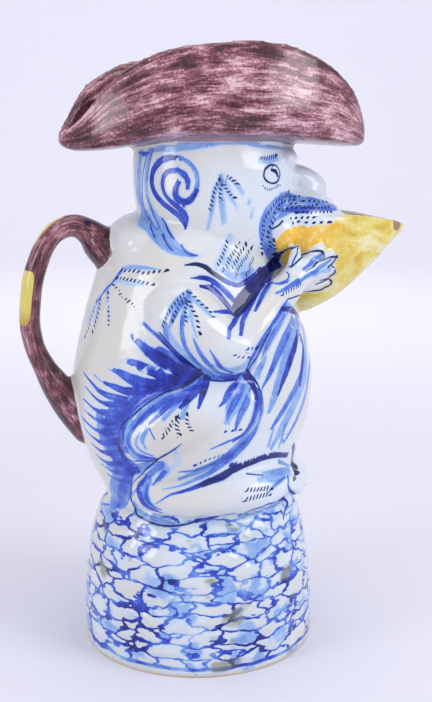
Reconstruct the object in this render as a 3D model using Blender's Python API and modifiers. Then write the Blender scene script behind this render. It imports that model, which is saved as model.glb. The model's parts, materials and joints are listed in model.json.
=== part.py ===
"""Faience jug: a crouching monkey in a cocked hat, on a round rockwork base.

The monkey faces +X and drinks from a half shell, which is the pouring spout. A strap handle
stands on its back, and the open crown of the hat is the mouth that the jug is filled by.
The jug is one hollow piece of fired clay. It is modelled as the potter luted it together:
turned base, belly, head, limbs, shell, hat and handle are each formed, then fused into one
skin, and the inside is hollowed out behind walls of the sizes below.

Units are metres, +Z is up, and the origin is the centre of the flat underside.
"""

import math

import bmesh
import bpy
import numpy as np
from mathutils import Matrix, Vector

# Driving sizes

JUG_HEIGHT = 0.270
BASE_RADIUS = 0.053
BODY_WALL = 0.0055
FLOOR_THICKNESS = 0.007
BRIM_THICKNESS = 0.0042
CROWN_RADIUS = 0.0205
MOUTH_RADIUS = 0.0155
SPOUT_WALL = 0.0036
SPOUT_FLOOR = 0.0048
LIP_DEPTH = 0.0022
RIM_ROUND = 0.0015
RIM_CLEARANCE = 0.010
PASSAGE_RADIUS = 0.0075
HANDLE_WIDTH = 0.0136
HANDLE_THICKNESS = 0.0096

# Fineness of the fused clay

CLAY_VOXEL = 0.0012
SMOOTHING_PASSES = 3
OUTSIDE_FACES = 7000
HOLLOW_FACES = 2400

# The pose and proportions are drawn on a grid that is 270 units from foot to hat brim.

GRID_HEIGHT = 270
UNIT = JUG_HEIGHT / GRID_HEIGHT
BASE_GRID_RADIUS = 53
RING_POINTS = 48

GLAZE_COLOUR = (0.80, 0.82, 0.84, 1.0)


def clear_scene():
    for obj in list(bpy.data.objects):
        bpy.data.objects.remove(obj, do_unlink=True)


def new_collection(name):
    collection = bpy.data.collections.new(name)
    bpy.context.scene.collection.children.link(collection)
    return collection


def smooth_curve(stations, values, at):
    """Values read from a smooth curve through hand-set ones, which never overshoots them."""
    x, y, at = (np.asarray(v, float) for v in (stations, values, at))
    step = np.diff(x)
    slope = np.diff(y) / step
    tangent = np.zeros_like(y)
    same_way = slope[:-1] * slope[1:] > 0
    harmonic = 2 * slope[:-1] * slope[1:] / np.where(same_way, slope[:-1] + slope[1:], 1)
    tangent[1:-1] = np.where(same_way, harmonic, 0)
    tangent[0], tangent[-1] = slope[0], slope[-1]
    i = np.clip(np.searchsorted(x, at, side="right") - 1, 0, len(step) - 1)
    t = (at - x[i]) / step[i]
    return (
        y[i] * (1 + 2 * t) * (1 - t) ** 2
        + tangent[i] * step[i] * t * (1 - t) ** 2
        + y[i + 1] * t * t * (3 - 2 * t)
        + tangent[i + 1] * step[i] * t * t * (t - 1)
    )


def mesh_object(name, bm, collection):
    mesh = bpy.data.meshes.new(name)
    bmesh.ops.recalc_face_normals(bm, faces=bm.faces)
    bm.to_mesh(mesh)
    bm.free()
    obj = bpy.data.objects.new(name, mesh)
    collection.objects.link(obj)
    return obj


def skin_rings(name, rings, collection, capped=True, closed_rings=True):
    """A skin over sections that differ from one to the next."""
    bm = bmesh.new()
    loops = [[bm.verts.new(point) for point in ring] for ring in rings]
    count = len(loops[0])
    for lower, upper in zip(loops, loops[1:]):
        for i in range(count if closed_rings else count - 1):
            j = (i + 1) % count
            bm.faces.new((lower[i], lower[j], upper[j], upper[i]))
    if capped:
        bm.faces.new(loops[0])
        bm.faces.new(loops[-1])
    return mesh_object(name, bm, collection)


def blob(name, centre, radii, tilt, collection):
    """An ellipsoid of clay. The tilt turns it about Y, nose up."""
    bm = bmesh.new()
    shape = (
        Matrix.Translation(Vector(centre) * UNIT)
        @ Matrix.Rotation(-math.radians(tilt), 4, "Y")
        @ Matrix.Diagonal((*(r * UNIT for r in radii), 1))
    )
    bmesh.ops.create_uvsphere(bm, u_segments=40, v_segments=24, radius=1, matrix=shape)
    return mesh_object(name, bm, collection)


def made_mesh(obj):
    """The object's curve or modifiers made a plain mesh, with its caps welded."""
    bpy.context.view_layer.update()
    graph = bpy.context.evaluated_depsgraph_get()
    mesh = bpy.data.meshes.new_from_object(obj.evaluated_get(graph))
    bm = bmesh.new()
    bm.from_mesh(mesh)
    bmesh.ops.remove_doubles(bm, verts=bm.verts, dist=1e-6)
    bm.to_mesh(mesh)
    bm.free()
    made = bpy.data.objects.new(obj.name, mesh)
    made.matrix_world = obj.matrix_world
    collection = obj.users_collection[0]
    name = obj.name
    bpy.data.objects.remove(obj)
    collection.objects.link(made)
    made.name = name
    return made


def roll(name, points, radii, collection, widening=1.0, spread=1.0):
    """A roll of clay along a path, with round ends. The widening stretches it along Y."""
    path = [Vector(p) * UNIT for p in points]
    widths = [r * UNIT for r in radii]
    lead = (path[0] - path[1]).normalized() * widths[0] * spread
    tail = (path[-1] - path[-2]).normalized() * widths[-1] * spread
    path = [path[0] + lead * 0.96, path[0] + lead * 0.7, *path, path[-1] + tail * 0.7, path[-1] + tail * 0.96]
    widths = [widths[0] * 0.28, widths[0] * 0.71, *widths, widths[-1] * 0.71, widths[-1] * 0.28]
    along = np.arange(len(path))
    fine = np.linspace(0, len(path) - 1, 6 * (len(path) - 1) + 1)
    curve = bpy.data.curves.new(name, "CURVE")
    curve.dimensions = "3D"
    curve.bevel_mode = "ROUND"
    curve.bevel_depth = 1
    curve.bevel_resolution = 6
    curve.use_fill_caps = True
    spline = curve.splines.new("POLY")
    spline.points.add(len(fine) - 1)
    axes = [smooth_curve(along, [p[k] for p in path], fine) for k in range(3)]
    for point, x, y, z, r in zip(spline.points, *axes, smooth_curve(along, widths, fine)):
        point.co = (x, y / widening, z, 1)
        point.radius = r
    obj = bpy.data.objects.new(name, curve)
    collection.objects.link(obj)
    obj.scale = (1, widening, 1)
    bpy.context.view_layer.update()
    made = made_mesh(obj)
    made.data.transform(made.matrix_world)
    made.matrix_world = Matrix.Identity(4)
    return made


# Rockwork base: a turned drum, a little fuller at the foot, with shallow hollows pressed in.

BASE_PROFILE = [
    (0, -5), (49, -5), (52, -3), (53.2, 1), (53.8, 8), (53.6, 20), (52.6, 32), (51.2, 44), (48.8, 56), (46.4, 64),
    (42.5, 70), (36, 73), (0, 74),
]
BASE_TOP = 74
HOLLOW_DEPTH = 0.0008


def base_stretch():
    return BASE_RADIUS / (BASE_GRID_RADIUS * UNIT)


def turned_base(collection):
    """The drum is a profile turned round Z, and its sides are pressed in between stones."""
    bm = bmesh.new()
    stations = np.arange(len(BASE_PROFILE))
    fine = np.linspace(0, len(BASE_PROFILE) - 1, 6 * (len(BASE_PROFILE) - 1) + 1)
    radius = smooth_curve(stations, [r for r, _ in BASE_PROFILE], fine) * UNIT * base_stretch()
    height = smooth_curve(stations, [z for _, z in BASE_PROFILE], fine) * UNIT
    points = [bm.verts.new((r, 0, z)) for r, z in zip(radius[::-1], height[::-1])]
    for upper, lower in zip(points, points[1:]):
        bm.edges.new((upper, lower))
    mesh = bpy.data.meshes.new("rockwork base")
    bm.to_mesh(mesh)
    bm.free()
    obj = bpy.data.objects.new("rockwork_base", mesh)
    collection.objects.link(obj)
    screw = obj.modifiers.new("turned", "SCREW")
    screw.steps = screw.render_steps = 96
    screw.use_merge_vertices = True
    screw.merge_threshold = 0.0001
    made = made_mesh(obj)
    for vertex in made.data.vertices:
        x, y, z = vertex.co
        turn = math.atan2(y, x)
        course = z / (9 * UNIT)
        lump = math.sin(7 * turn + 1.9 * course) * math.sin(2.2 * course + 1.3 * math.sin(5 * turn))
        side = min(1, max(0, z / (6 * UNIT))) * min(1, max(0, (BASE_TOP * UNIT - z) / (12 * UNIT)))
        vertex.co.xy *= 1 + lump * side * HOLLOW_DEPTH / BASE_RADIUS
    return made


# Belly, chest and shoulders: height, back and front in profile, half width, on the grid.

BELLY = [
    (60, -36, 41, 37), (70, -42, 42.5, 41.5), (80, -47, 43.5, 44.5), (93, -52, 46.6, 47.5), (109, -56, 51.4, 49),
    (124, -57, 52.8, 49.5), (140, -54.5, 50.5, 48.5), (152, -51.5, 46, 47), (164, -48, 40, 45),
    (175, -44.5, 34, 42.5), (184, -39.5, 30, 38), (192, -32, 26, 32), (199, -22, 22, 24),
]

# Head and neck, under the hat, in the same order.

HEAD = [
    (164, -12, 24, 26), (172, -17, 30, 31), (180, -20.5, 34, 32.5), (188, -23, 38, 33), (197, -26, 41.5, 33.5),
    (206, -28, 43.5, 33.5), (216, -28.5, 44, 33), (225, -28, 41, 32), (233, -27, 38.5, 31),
]


def upright_rings(sections, inset=0.0, finer=5):
    """Egg-shaped rings, one above another, each drawn in by the inset."""
    heights = [s[0] for s in sections]
    fine = np.linspace(heights[0], heights[-1], finer * (len(sections) - 1) + 1)
    back, front, half = (smooth_curve(heights, [s[k] for s in sections], fine) * UNIT for k in (1, 2, 3))
    turns = np.linspace(0, 2 * math.pi, RING_POINTS, endpoint=False)
    rings = []
    for z, b, f, h in zip(fine * UNIT, back, front, half):
        middle, reach = (b + f) / 2, (f - b) / 2
        rings.append(
            [
                (middle + (reach - inset) * math.cos(a), (h - inset) * math.sin(a), z)
                for a in turns
            ]
        )
    return rings


# Half shell held to the mouth: station along X, top rim, keel, half width at the rim.

SHELL = [
    (26, 189, 168, 13), (32, 192.5, 160.5, 19), (40, 195, 155, 23), (48, 196.3, 152.3, 24.5), (57, 197.4, 155.4, 23.5),
    (66, 197.4, 160.6, 20.5), (77, 196.4, 170, 15), (87, 194.6, 179.8, 9.5), (92.5, 193.4, 185.4, 6),
    (96.5, 192.2, 189, 3.2),
]
PASSAGE_START = 22
PASSAGE_FLOOR = 183
PASSAGE_TOP = 194.5
BOWL_START = 46
BOWL_FULL = 54
MUZZLE_END = 66


def shell_sizes(x):
    """Top, keel and half width of the shell at a station, in metres."""
    stations = [s[0] for s in SHELL]
    return [float(smooth_curve(stations, [s[k] for s in SHELL], [x])[0]) * UNIT for k in (1, 2, 3)]


def bowl_ring(x, half, top, floor, roof):
    """A half-round section, round below the rim and straight above it up to the roof."""
    ring = []
    for a in np.linspace(0, math.pi, RING_POINTS // 2):
        out = math.copysign(abs(math.cos(a)) ** 0.85, math.cos(a))
        ring.append((x * UNIT, -half * out, top - (top - floor) * math.sin(a) ** 0.95))
    return [*ring, (x * UNIT, half, roof), (x * UNIT, -half, roof)]


def shell_body(collection):
    rings = []
    for x in np.linspace(SHELL[0][0], SHELL[-1][0], 40):
        top, keel, half = shell_sizes(x)
        rings.append(bowl_ring(x, half, top - RIM_ROUND, keel, top))
    return skin_rings("shell_spout", rings, collection)


def shell_bowl(collection):
    """The inside of the shell. Behind, a passage pierces the wall; under the muzzle it is roofed."""
    rings = []
    lip = SHELL[-1][0]
    for x in np.linspace(PASSAGE_START, lip + 6, 76):
        top, keel, half = shell_sizes(min(max(x, BOWL_START), lip))
        bowl = min(1, max(0, (x - BOWL_START) / (BOWL_FULL - BOWL_START)))
        reach = PASSAGE_RADIUS + (max(half - SPOUT_WALL, LIP_DEPTH / 2) - PASSAGE_RADIUS) * bowl
        passage_floor = PASSAGE_FLOOR * UNIT
        floor = passage_floor + (min(keel + SPOUT_FLOOR, top - LIP_DEPTH) - passage_floor) * bowl
        roofed = PASSAGE_TOP * UNIT
        open_top = top + RIM_CLEARANCE
        rings.append(bowl_ring(x, reach, min(top, roofed), floor, open_top if x > MUZZLE_END else roofed))
    return skin_rings("shell_bowl", rings, collection)


# Cocked hat: station along X, underside, edges of the right and left brim, half width, lean
# inwards. The left brim is turned up more steeply behind, and shows past the right one.

HAT = [
    (-61, 229, 233, 233, 5, 0), (-57.5, 226.4, 235, 239, 10.5, 0.5), (-53, 225.4, 239, 247, 16, 1),
    (-47.5, 225.4, 245, 254, 22, 2), (-40, 225.8, 254.2, 259, 27.5, 3.5), (-30, 227.2, 261.4, 264, 33.5, 6),
    (-20, 229, 266.2, 266.2, 37.5, 8), (-7, 230, 269, 269, 40, 9), (5, 230, 270, 270, 41, 9),
    (18, 230, 270.6, 270.6, 41, 9), (31, 229.5, 269.8, 269.8, 39, 8), (42, 228.5, 267, 267, 35.5, 7),
    (52, 228, 262.6, 262.6, 30.5, 5), (60, 227.5, 257.5, 257.5, 25, 3.5), (66.5, 227, 251.5, 251.5, 19, 2),
    (71, 227, 245, 245, 13.5, 1), (74.4, 228, 238.5, 238.5, 8.5, 0.5), (76, 230, 234, 234, 4.5, 0),
]
HAT_SECTION = [(0, 0), (0.5, 0.01), (0.8, 0.05), (0.94, 0.15), (1.0, 0.34), (0.99, 0.7), (0.98, 1.0)]
CROWN_PLACE = 8
CROWN_FOOT = 228
CROWN_TOP = 246


def hat_brim(collection):
    """The brim is one sheet, turned up into two tall flaps that meet in a point at each end."""
    stations = [s[0] for s in HAT]
    fine = np.linspace(stations[0], stations[-1], 60)
    keel, right_edge, left_edge, half, lean = (
        smooth_curve(stations, [s[k] for s in HAT], fine) * UNIT for k in range(1, 6)
    )
    steps = np.arange(len(HAT_SECTION))
    fine_steps = np.linspace(0, len(HAT_SECTION) - 1, 25)
    out = smooth_curve(steps, [p[0] for p in HAT_SECTION], fine_steps)
    up = smooth_curve(steps, [p[1] for p in HAT_SECTION], fine_steps)
    rings = []
    for x, k, *edges, h, l in zip(fine * UNIT, keel, right_edge, left_edge, half, lean):
        right, left = (
            [(x, side * (h * o - l * u * u), k + (e - k) * u) for o, u in zip(out, up)]
            for side, e in zip((-1, 1), edges)
        )
        rings.append(right[::-1] + left[1:])
    sheet = skin_rings("hat_brim", rings, collection, capped=False, closed_rings=False)
    shell = sheet.modifiers.new("clay thickness", "SOLIDIFY")
    shell.thickness = BRIM_THICKNESS
    shell.offset = inward_offset(sheet)
    return made_mesh(sheet)


def inward_offset(sheet):
    """-1 or 1, whichever thickens the brim to its inside, from the way its first underside face looks."""
    middle = min(sheet.data.polygons, key=lambda face: face.center.xy.length)
    return -1 if middle.normal.z < 0 else 1


def hat_crown(collection):
    """The low crown round the jug's mouth."""
    bm = bmesh.new()
    place = Matrix.Translation(Vector((CROWN_PLACE, 0, (CROWN_FOOT + CROWN_TOP) / 2)) * UNIT)
    bmesh.ops.create_cone(
        bm,
        cap_ends=True,
        segments=RING_POINTS,
        radius1=CROWN_RADIUS * 1.12,
        radius2=CROWN_RADIUS,
        depth=(CROWN_TOP - CROWN_FOOT) * UNIT,
        matrix=place,
    )
    return mesh_object("hat_crown", bm, collection)


# Strap handle: its middle line from the nape to the rump as X and Z, and its thickness there
# against the thickness of the grip.

HANDLE = [
    (-32, 175, 1.9), (-38, 180, 1.95), (-43.5, 185, 1.75), (-48.5, 190, 1.28), (-55, 193.2, 1.04), (-62, 191, 1),
    (-67.8, 184.5, 0.96), (-71.2, 176.5, 0.96), (-74, 166.5, 1), (-75.5, 152, 0.98), (-74, 141, 0.96),
    (-70, 131, 1.06), (-64.5, 121, 1.4), (-57, 109, 1.55), (-50, 99, 1.4),
]

# Limbs of the side at -Y. Each is a path of points and radii on the grid.

LIMBS = {
    "upper_arm": ([(-12, -36, 158), (-6, -42, 152), (4, -46, 146), (10, -47, 144.5)], [17, 15.5, 12, 10.5]),
    "forearm": ([(11, -46, 145), (19, -42.5, 154), (28, -36, 163), (36, -29.5, 169)], [10.5, 9.5, 8, 6.6]),
    "palm": ([(37, -28, 170), (43.5, -25.5, 174)], [6.6, 6.4]),
    "thumb": ([(37, -28, 173), (37.6, -28.4, 178), (39, -27.4, 183.4)], [3.2, 2.7, 2.3]),
    "finger_1": ([(42, -25.6, 176), (46.4, -25.6, 180), (50.4, -24.6, 183.4)], [2.8, 2.5, 2.2]),
    "finger_2": ([(44, -25.8, 174), (50, -25.2, 177.4), (55.4, -23.4, 180)], [2.8, 2.5, 2.2]),
    "finger_3": ([(45, -25, 170.8), (50.8, -24, 172.6), (56.2, -22, 174.4)], [2.8, 2.5, 2.1]),
    "finger_4": ([(44, -23.8, 167.2), (49, -22.4, 167.6), (54, -20.4, 169)], [2.7, 2.4, 2]),
    "thigh": ([(-25, -38, 107), (-12, -40, 115), (4, -40, 121)], [15, 17.5, 14.5]),
    "shin": ([(11, -41, 120), (-3, -42, 107), (-20, -39, 94)], [12.5, 12.5, 10.5]),
    "foot": ([(-26, -38, 82), (-8, -42.5, 79.5), (14, -42, 80.5), (30, -32, 82.5)], [9, 9, 9.5, 8.6]),
    "toe_1": ([(31, -32, 81), (39.5, -30.5, 77.5)], [5.2, 4]),
    "toe_2": ([(33, -25.5, 82), (43.2, -22.6, 77.5)], [5.2, 4]),
    "toe_3": ([(34, -19, 82.5), (45.6, -14.6, 77.5)], [5.2, 4]),
    "toe_4": ([(34, -12, 82.5), (46.6, -6.4, 77.5)], [5.2, 4]),
}

# Features of the face, as ellipsoids: centre, radii and tilt.

FACE = {
    "muzzle": ((44, 0, 197.8), (22.5, 24, 12.4), -12),
    "cheek_fur": ((32, 0, 191), (16, 28.5, 15), -50),
    "nose": ((50, 0, 209.2), (9.6, 9.8, 6.8), -8),
    "under_nose": ((46, 0, 203), (9, 12, 6), -8),
    "nape": ((-28, 0, 187), (13.5, 26, 11), 24),
    "brow": ((37, 0, 222), (7, 22, 7), 0),
}


def fused(name, pieces, collection):
    """The pieces fused into one skin, with their joints smoothed as wet clay is."""
    bm = bmesh.new()
    for piece in pieces:
        bm.from_mesh(piece.data)
    obj = mesh_object(name, bm, collection)
    fuse = obj.modifiers.new("fused clay", "REMESH")
    fuse.mode = "VOXEL"
    fuse.voxel_size = CLAY_VOXEL
    sponge = obj.modifiers.new("sponged joints", "SMOOTH")
    sponge.factor = 0.5
    sponge.iterations = SMOOTHING_PASSES
    return obj


def thinned(obj, faces):
    """The object with about this many triangles, more of them left where it curves most."""
    fewer = obj.modifiers.new("fewer faces", "DECIMATE")
    fewer.ratio = faces / sum(len(face.vertices) - 2 for face in obj.data.polygons)
    return made_mesh(obj)


# The hollow, before the wall is left on: the drum as heights and radii, and the waist like BELLY.

INNER_DRUM = [(FLOOR_THICKNESS / UNIT, 53.8), (20, 53.6), (44, 51.2), (60, 46)]
INNER_WAIST = (68, -41, 42, 41)
INNER_BELLY = [s for s in BELLY if 75 < s[0] < 190]
INNER_HEAD = [s for s in HEAD if s[0] < 228]
MOUTH_LOW = 200
MOUTH_HIGH = 280


def hollow_shape(collection):
    """Everything inside the walls: base, belly and head in one space, its mouth and its throat."""
    drum = [(z, *(side * r * base_stretch() for side in (-1, 1, 1))) for z, r in INNER_DRUM]
    pieces = [
        skin_rings("inner_drum", upright_rings([*drum, INNER_WAIST, *INNER_BELLY], BODY_WALL), collection),
        skin_rings("inner_head", upright_rings(INNER_HEAD, BODY_WALL), collection),
    ]
    bm = bmesh.new()
    bmesh.ops.create_cone(
        bm,
        cap_ends=True,
        segments=RING_POINTS,
        radius1=MOUTH_RADIUS,
        radius2=MOUTH_RADIUS,
        depth=(MOUTH_HIGH - MOUTH_LOW) * UNIT,
        matrix=Matrix.Translation(Vector((CROWN_PLACE, 0, (MOUTH_LOW + MOUTH_HIGH) / 2)) * UNIT),
    )
    pieces.append(mesh_object("mouth", bm, collection))
    pieces.append(shell_bowl(collection))
    return fused("hollow", pieces, collection)


def flat_cut(collection):
    """What is shaved off below the resting plane."""
    bm = bmesh.new()
    side = 4 * BASE_RADIUS
    bmesh.ops.create_cube(bm, size=side, matrix=Matrix.Translation((0, 0, -side / 2)))
    return mesh_object("resting_plane", bm, collection)


def glaze():
    material = bpy.data.materials.new("tin_glaze")
    material.use_nodes = True
    shader = material.node_tree.nodes["Principled BSDF"]
    shader.inputs["Base Color"].default_value = GLAZE_COLOUR
    shader.inputs["Roughness"].default_value = 0.15
    shader.inputs["Metallic"].default_value = 0.0
    return material


def cut(obj, cutter, name):
    modifier = obj.modifiers.new(name, "BOOLEAN")
    modifier.operation = "DIFFERENCE"
    modifier.object = cutter
    return modifier


def outside_pieces(collection):
    pieces = [
        turned_base(collection),
        skin_rings("belly", upright_rings(BELLY), collection),
        skin_rings("head", upright_rings(HEAD), collection),
        shell_body(collection),
        hat_brim(collection),
        hat_crown(collection),
    ]
    pieces += [blob(name, *shape, collection) for name, shape in FACE.items()]
    for name, (points, radii) in LIMBS.items():
        for side in (1, -1):
            mirrored = [(x, side * y, z) for x, y, z in points]
            pieces.append(roll(f"{name}_{side}", mirrored, radii, collection))
    line = [(x, 0, z) for x, z, _ in HANDLE]
    strap = [HANDLE_THICKNESS / 2 / UNIT * fullness for _, _, fullness in HANDLE]
    pieces.append(roll("handle", line, strap, collection, widening=HANDLE_WIDTH / HANDLE_THICKNESS, spread=0.4))
    return pieces


def build():
    clear_scene()
    jug_parts = new_collection("faience jug")
    clay = new_collection("formed clay")
    cutters = new_collection("cutters")
    clay.hide_render = True
    cutters.hide_render = True

    outside = thinned(made_mesh(fused("outside", outside_pieces(clay), clay)), OUTSIDE_FACES)
    hollow = thinned(made_mesh(hollow_shape(cutters)), HOLLOW_FACES)

    jug = bpy.data.objects.new("jug", outside.data.copy())
    jug_parts.objects.link(jug)
    cut(jug, hollow, "hollowed")
    cut(jug, flat_cut(cutters), "flat underside")
    jug.data.materials.clear()
    jug.data.materials.append(glaze())
    jug.data.shade_smooth()

    for obj in list(clay.objects) + list(cutters.objects):
        obj.hide_render = True
        obj.display_type = "WIRE"


build()
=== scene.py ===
"""Faience jug: a crouching monkey in a cocked hat, on a round rockwork base, as it looks when fired."""

import json
import math

import bmesh
import bpy
import numpy as np
from mathutils import Matrix, Vector, noise
from mathutils.bvhtree import BVHTree

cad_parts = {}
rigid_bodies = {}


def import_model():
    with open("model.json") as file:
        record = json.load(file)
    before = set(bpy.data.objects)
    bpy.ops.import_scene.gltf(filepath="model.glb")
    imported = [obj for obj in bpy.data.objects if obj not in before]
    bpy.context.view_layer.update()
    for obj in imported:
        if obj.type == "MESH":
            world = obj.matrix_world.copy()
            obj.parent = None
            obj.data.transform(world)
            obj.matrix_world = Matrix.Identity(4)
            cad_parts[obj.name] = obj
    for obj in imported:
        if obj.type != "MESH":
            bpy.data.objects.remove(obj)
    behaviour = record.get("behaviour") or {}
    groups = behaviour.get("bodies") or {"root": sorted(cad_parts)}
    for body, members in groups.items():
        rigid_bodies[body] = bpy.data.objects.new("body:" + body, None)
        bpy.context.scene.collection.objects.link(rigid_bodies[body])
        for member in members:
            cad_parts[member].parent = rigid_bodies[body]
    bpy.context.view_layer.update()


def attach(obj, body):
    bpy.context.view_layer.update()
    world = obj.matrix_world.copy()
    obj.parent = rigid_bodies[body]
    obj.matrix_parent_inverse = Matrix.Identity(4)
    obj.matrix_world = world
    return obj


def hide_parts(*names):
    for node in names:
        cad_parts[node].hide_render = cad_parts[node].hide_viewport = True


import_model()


# Rockwork base
#
# The monkey crouches on a drum that was turned on the wheel and pressed in between the fingers
# into low stones, then painted with a net of cobalt lines over white tin glaze.

MM = 0.001
BASE_PROFILE = [
    (0, -5), (49, -5), (52, -3), (53.2, 1), (53.8, 8), (53.6, 20), (52.6, 32), (51.2, 44), (48.8, 56),
    (46.4, 64), (42.5, 70), (36, 73), (0, 74),
]
STONE_WIDTH = 14.5
STONE_HEIGHT = 6.4
STONE_RELIEF = 0.9
SEED = 3.7

clay = {}
raw_clay = bpy.data.collections.new("raw clay")
bpy.context.scene.collection.children.link(raw_clay)


def srgb(code):
    """A hex colour as linear red, green and blue, for a shader."""
    parts = [int(code[i:i + 2], 16) / 255 for i in (1, 3, 5)]
    return (*(c / 12.92 if c <= 0.04045 else ((c + 0.055) / 1.055) ** 2.4 for c in parts), 1.0)


def node(tree, kind, inputs=None, **settings):
    """Adds a node with its settings, and gives each input a value or a link from another node."""
    made = tree.nodes.new(kind)
    for name, value in settings.items():
        setattr(made, name, value)
    for socket, value in (inputs or {}).items():
        if isinstance(value, bpy.types.NodeSocket):
            tree.links.new(value, made.inputs[socket])
        else:
            made.inputs[socket].default_value = value
    return made.outputs


def smooth_curve(stations, values, at):
    """Values read from a smooth curve through given ones, which never overshoots them."""
    x, y, at = (np.asarray(v, float) for v in (stations, values, at))
    step = np.diff(x)
    slope = np.diff(y) / step
    tangent = np.zeros_like(y)
    same_way = slope[:-1] * slope[1:] > 0
    harmonic = 2 * slope[:-1] * slope[1:] / np.where(same_way, slope[:-1] + slope[1:], 1)
    tangent[1:-1] = np.where(same_way, harmonic, 0)
    tangent[0], tangent[-1] = slope[0], slope[-1]
    i = np.clip(np.searchsorted(x, at, side="right") - 1, 0, len(step) - 1)
    t = (at - x[i]) / step[i]
    return (
        y[i] * (1 + 2 * t) * (1 - t) ** 2
        + tangent[i] * step[i] * t * (1 - t) ** 2
        + y[i + 1] * t * t * (3 - 2 * t)
        + tangent[i + 1] * step[i] * t * t * (t - 1)
    )


def piece_of_clay(name, bm):
    """A mesh object of raw clay, its faces turned outwards."""
    mesh = bpy.data.meshes.new(name)
    bmesh.ops.recalc_face_normals(bm, faces=bm.faces)
    bm.to_mesh(mesh)
    bm.free()
    obj = bpy.data.objects.new(name, mesh)
    raw_clay.objects.link(obj)
    return obj


def made_mesh(obj):
    """The object's curve or modifiers made a plain mesh, with its doubles welded."""
    bpy.context.view_layer.update()
    graph = bpy.context.evaluated_depsgraph_get()
    mesh = bpy.data.meshes.new_from_object(obj.evaluated_get(graph))
    bm = bmesh.new()
    bm.from_mesh(mesh)
    bmesh.ops.remove_doubles(bm, verts=bm.verts, dist=1e-6)
    bm.transform(obj.matrix_world)
    bm.to_mesh(mesh)
    bm.free()
    made = bpy.data.objects.new(obj.name, mesh)
    raw_clay.objects.link(made)
    name = obj.name
    bpy.data.objects.remove(obj)
    made.name = name
    return made


def turned_drum():
    bm = bmesh.new()
    stations = np.arange(len(BASE_PROFILE))
    fine = np.linspace(0, len(BASE_PROFILE) - 1, 9 * (len(BASE_PROFILE) - 1) + 1)
    radius = smooth_curve(stations, [r for r, _ in BASE_PROFILE], fine) * MM
    height = smooth_curve(stations, [z for _, z in BASE_PROFILE], fine) * MM
    points = [bm.verts.new((r, 0, z)) for r, z in zip(radius[::-1], height[::-1])]
    for upper, lower in zip(points, points[1:]):
        bm.edges.new((upper, lower))
    drum = piece_of_clay("rockwork base", bm)
    turned = drum.modifiers.new("turned", "SCREW")
    turned.steps = turned.render_steps = 240
    turned.use_merge_vertices = True
    turned.merge_threshold = 0.0001
    return made_mesh(drum)


def stone_net(tree, place, sizes, seed):
    """The net between the stones: the place in stones, drawn with an unsteady hand, and its Voronoi."""
    in_stones = node(tree, "ShaderNodeVectorMath", {0: place, 1: sizes}, operation="DIVIDE")
    unsteady = {"Vector": in_stones[0], "Scale": 1.7, "Detail": 2.0, "Roughness": 0.45}
    shake = node(tree, "ShaderNodeTexNoise", unsteady)
    reach = {9: (-0.42,) * 3, 10: (0.42,) * 3}
    shaken = node(tree, "ShaderNodeMapRange", {6: shake["Color"], **reach}, data_type="FLOAT_VECTOR")
    moved = node(tree, "ShaderNodeVectorMath", {0: in_stones[0], 1: shaken[1]}, operation="ADD")
    shifted = node(tree, "ShaderNodeVectorMath", {0: moved[0], 1: seed}, operation="ADD")
    net = node(tree, "ShaderNodeTexVoronoi", {"Vector": shifted[0], "Scale": 1.0}, feature="DISTANCE_TO_EDGE")
    return net["Distance"], shifted[0]


def rockwork_tree(material):
    """Presses a net of hollows into a drum and leaves low stones between them."""
    tree = bpy.data.node_groups.new("pressed rockwork", "GeometryNodeTree")
    face = tree.interface
    face.new_socket("Geometry", in_out="INPUT", socket_type="NodeSocketGeometry")
    sizes = {"Stone width": STONE_WIDTH, "Stone height": STONE_HEIGHT, "Relief": STONE_RELIEF}
    for name, value in sizes.items():
        face.new_socket(name, in_out="INPUT", socket_type="NodeSocketFloat").default_value = value * MM
    face.new_socket("Seed", in_out="INPUT", socket_type="NodeSocketFloat")
    face.new_socket("Geometry", in_out="OUTPUT", socket_type="NodeSocketGeometry")
    given = tree.nodes.new("NodeGroupInput").outputs
    width, tall, seed = (given[name] for name in ("Stone width", "Stone height", "Seed"))
    stone_size = node(tree, "ShaderNodeCombineXYZ", {0: width, 1: width, 2: tall})
    place = node(tree, "GeometryNodeInputPosition")
    shift = node(tree, "ShaderNodeCombineXYZ", {0: seed, 1: seed, 2: seed})
    distance, _ = stone_net(tree, place[0], stone_size[0], shift[0])
    cushion = {"Value": distance, 1: 0.0, 2: 0.3, 3: -1.0, 4: 0.15}
    stone = node(tree, "ShaderNodeMapRange", cushion, interpolation_type="SMOOTHSTEP")
    height = node(tree, "ShaderNodeSeparateXYZ", {0: place[0]})
    foot = node(tree, "ShaderNodeMapRange", {"Value": height["Z"], 1: 1 * MM, 2: 6 * MM})
    depth = node(tree, "ShaderNodeMath", {0: stone[0], 1: given["Relief"]}, operation="MULTIPLY")
    faded = node(tree, "ShaderNodeMath", {0: depth[0], 1: foot[0]}, operation="MULTIPLY")
    out = node(tree, "GeometryNodeInputNormal")
    offset = node(tree, "ShaderNodeVectorMath", {0: out[0], "Scale": faded[0]}, operation="SCALE")
    pressed = node(tree, "GeometryNodeSetPosition", {"Geometry": given["Geometry"], "Offset": offset[0]})
    real = node(tree, "GeometryNodeRealizeInstances", {0: pressed[0]})
    painted = node(tree, "GeometryNodeSetMaterial", {"Geometry": real[0], "Material": material})
    result = tree.nodes.new("NodeGroupOutput")
    tree.links.new(painted[0], result.inputs[0])
    return tree


def colour_ramp(tree, value, stops):
    """The colour that a list of positions and hex colours has for a value."""
    shade = node(tree, "ShaderNodeValToRGB", {"Fac": value})
    ramp = tree.nodes[-1].color_ramp
    while len(ramp.elements) < len(stops):
        ramp.elements.new(0.5)
    for stop, (position, code) in zip(ramp.elements, stops):
        stop.position = position
        stop.color = srgb(code)
    return shade[0]


# White glaze from cool to warm; the back of the jug is pushed towards the greyer, warmer end as painted
# shade.
WHITE = [(0.42, "#DBE4EC"), (0.68, "#D8D6CE")]


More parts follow.
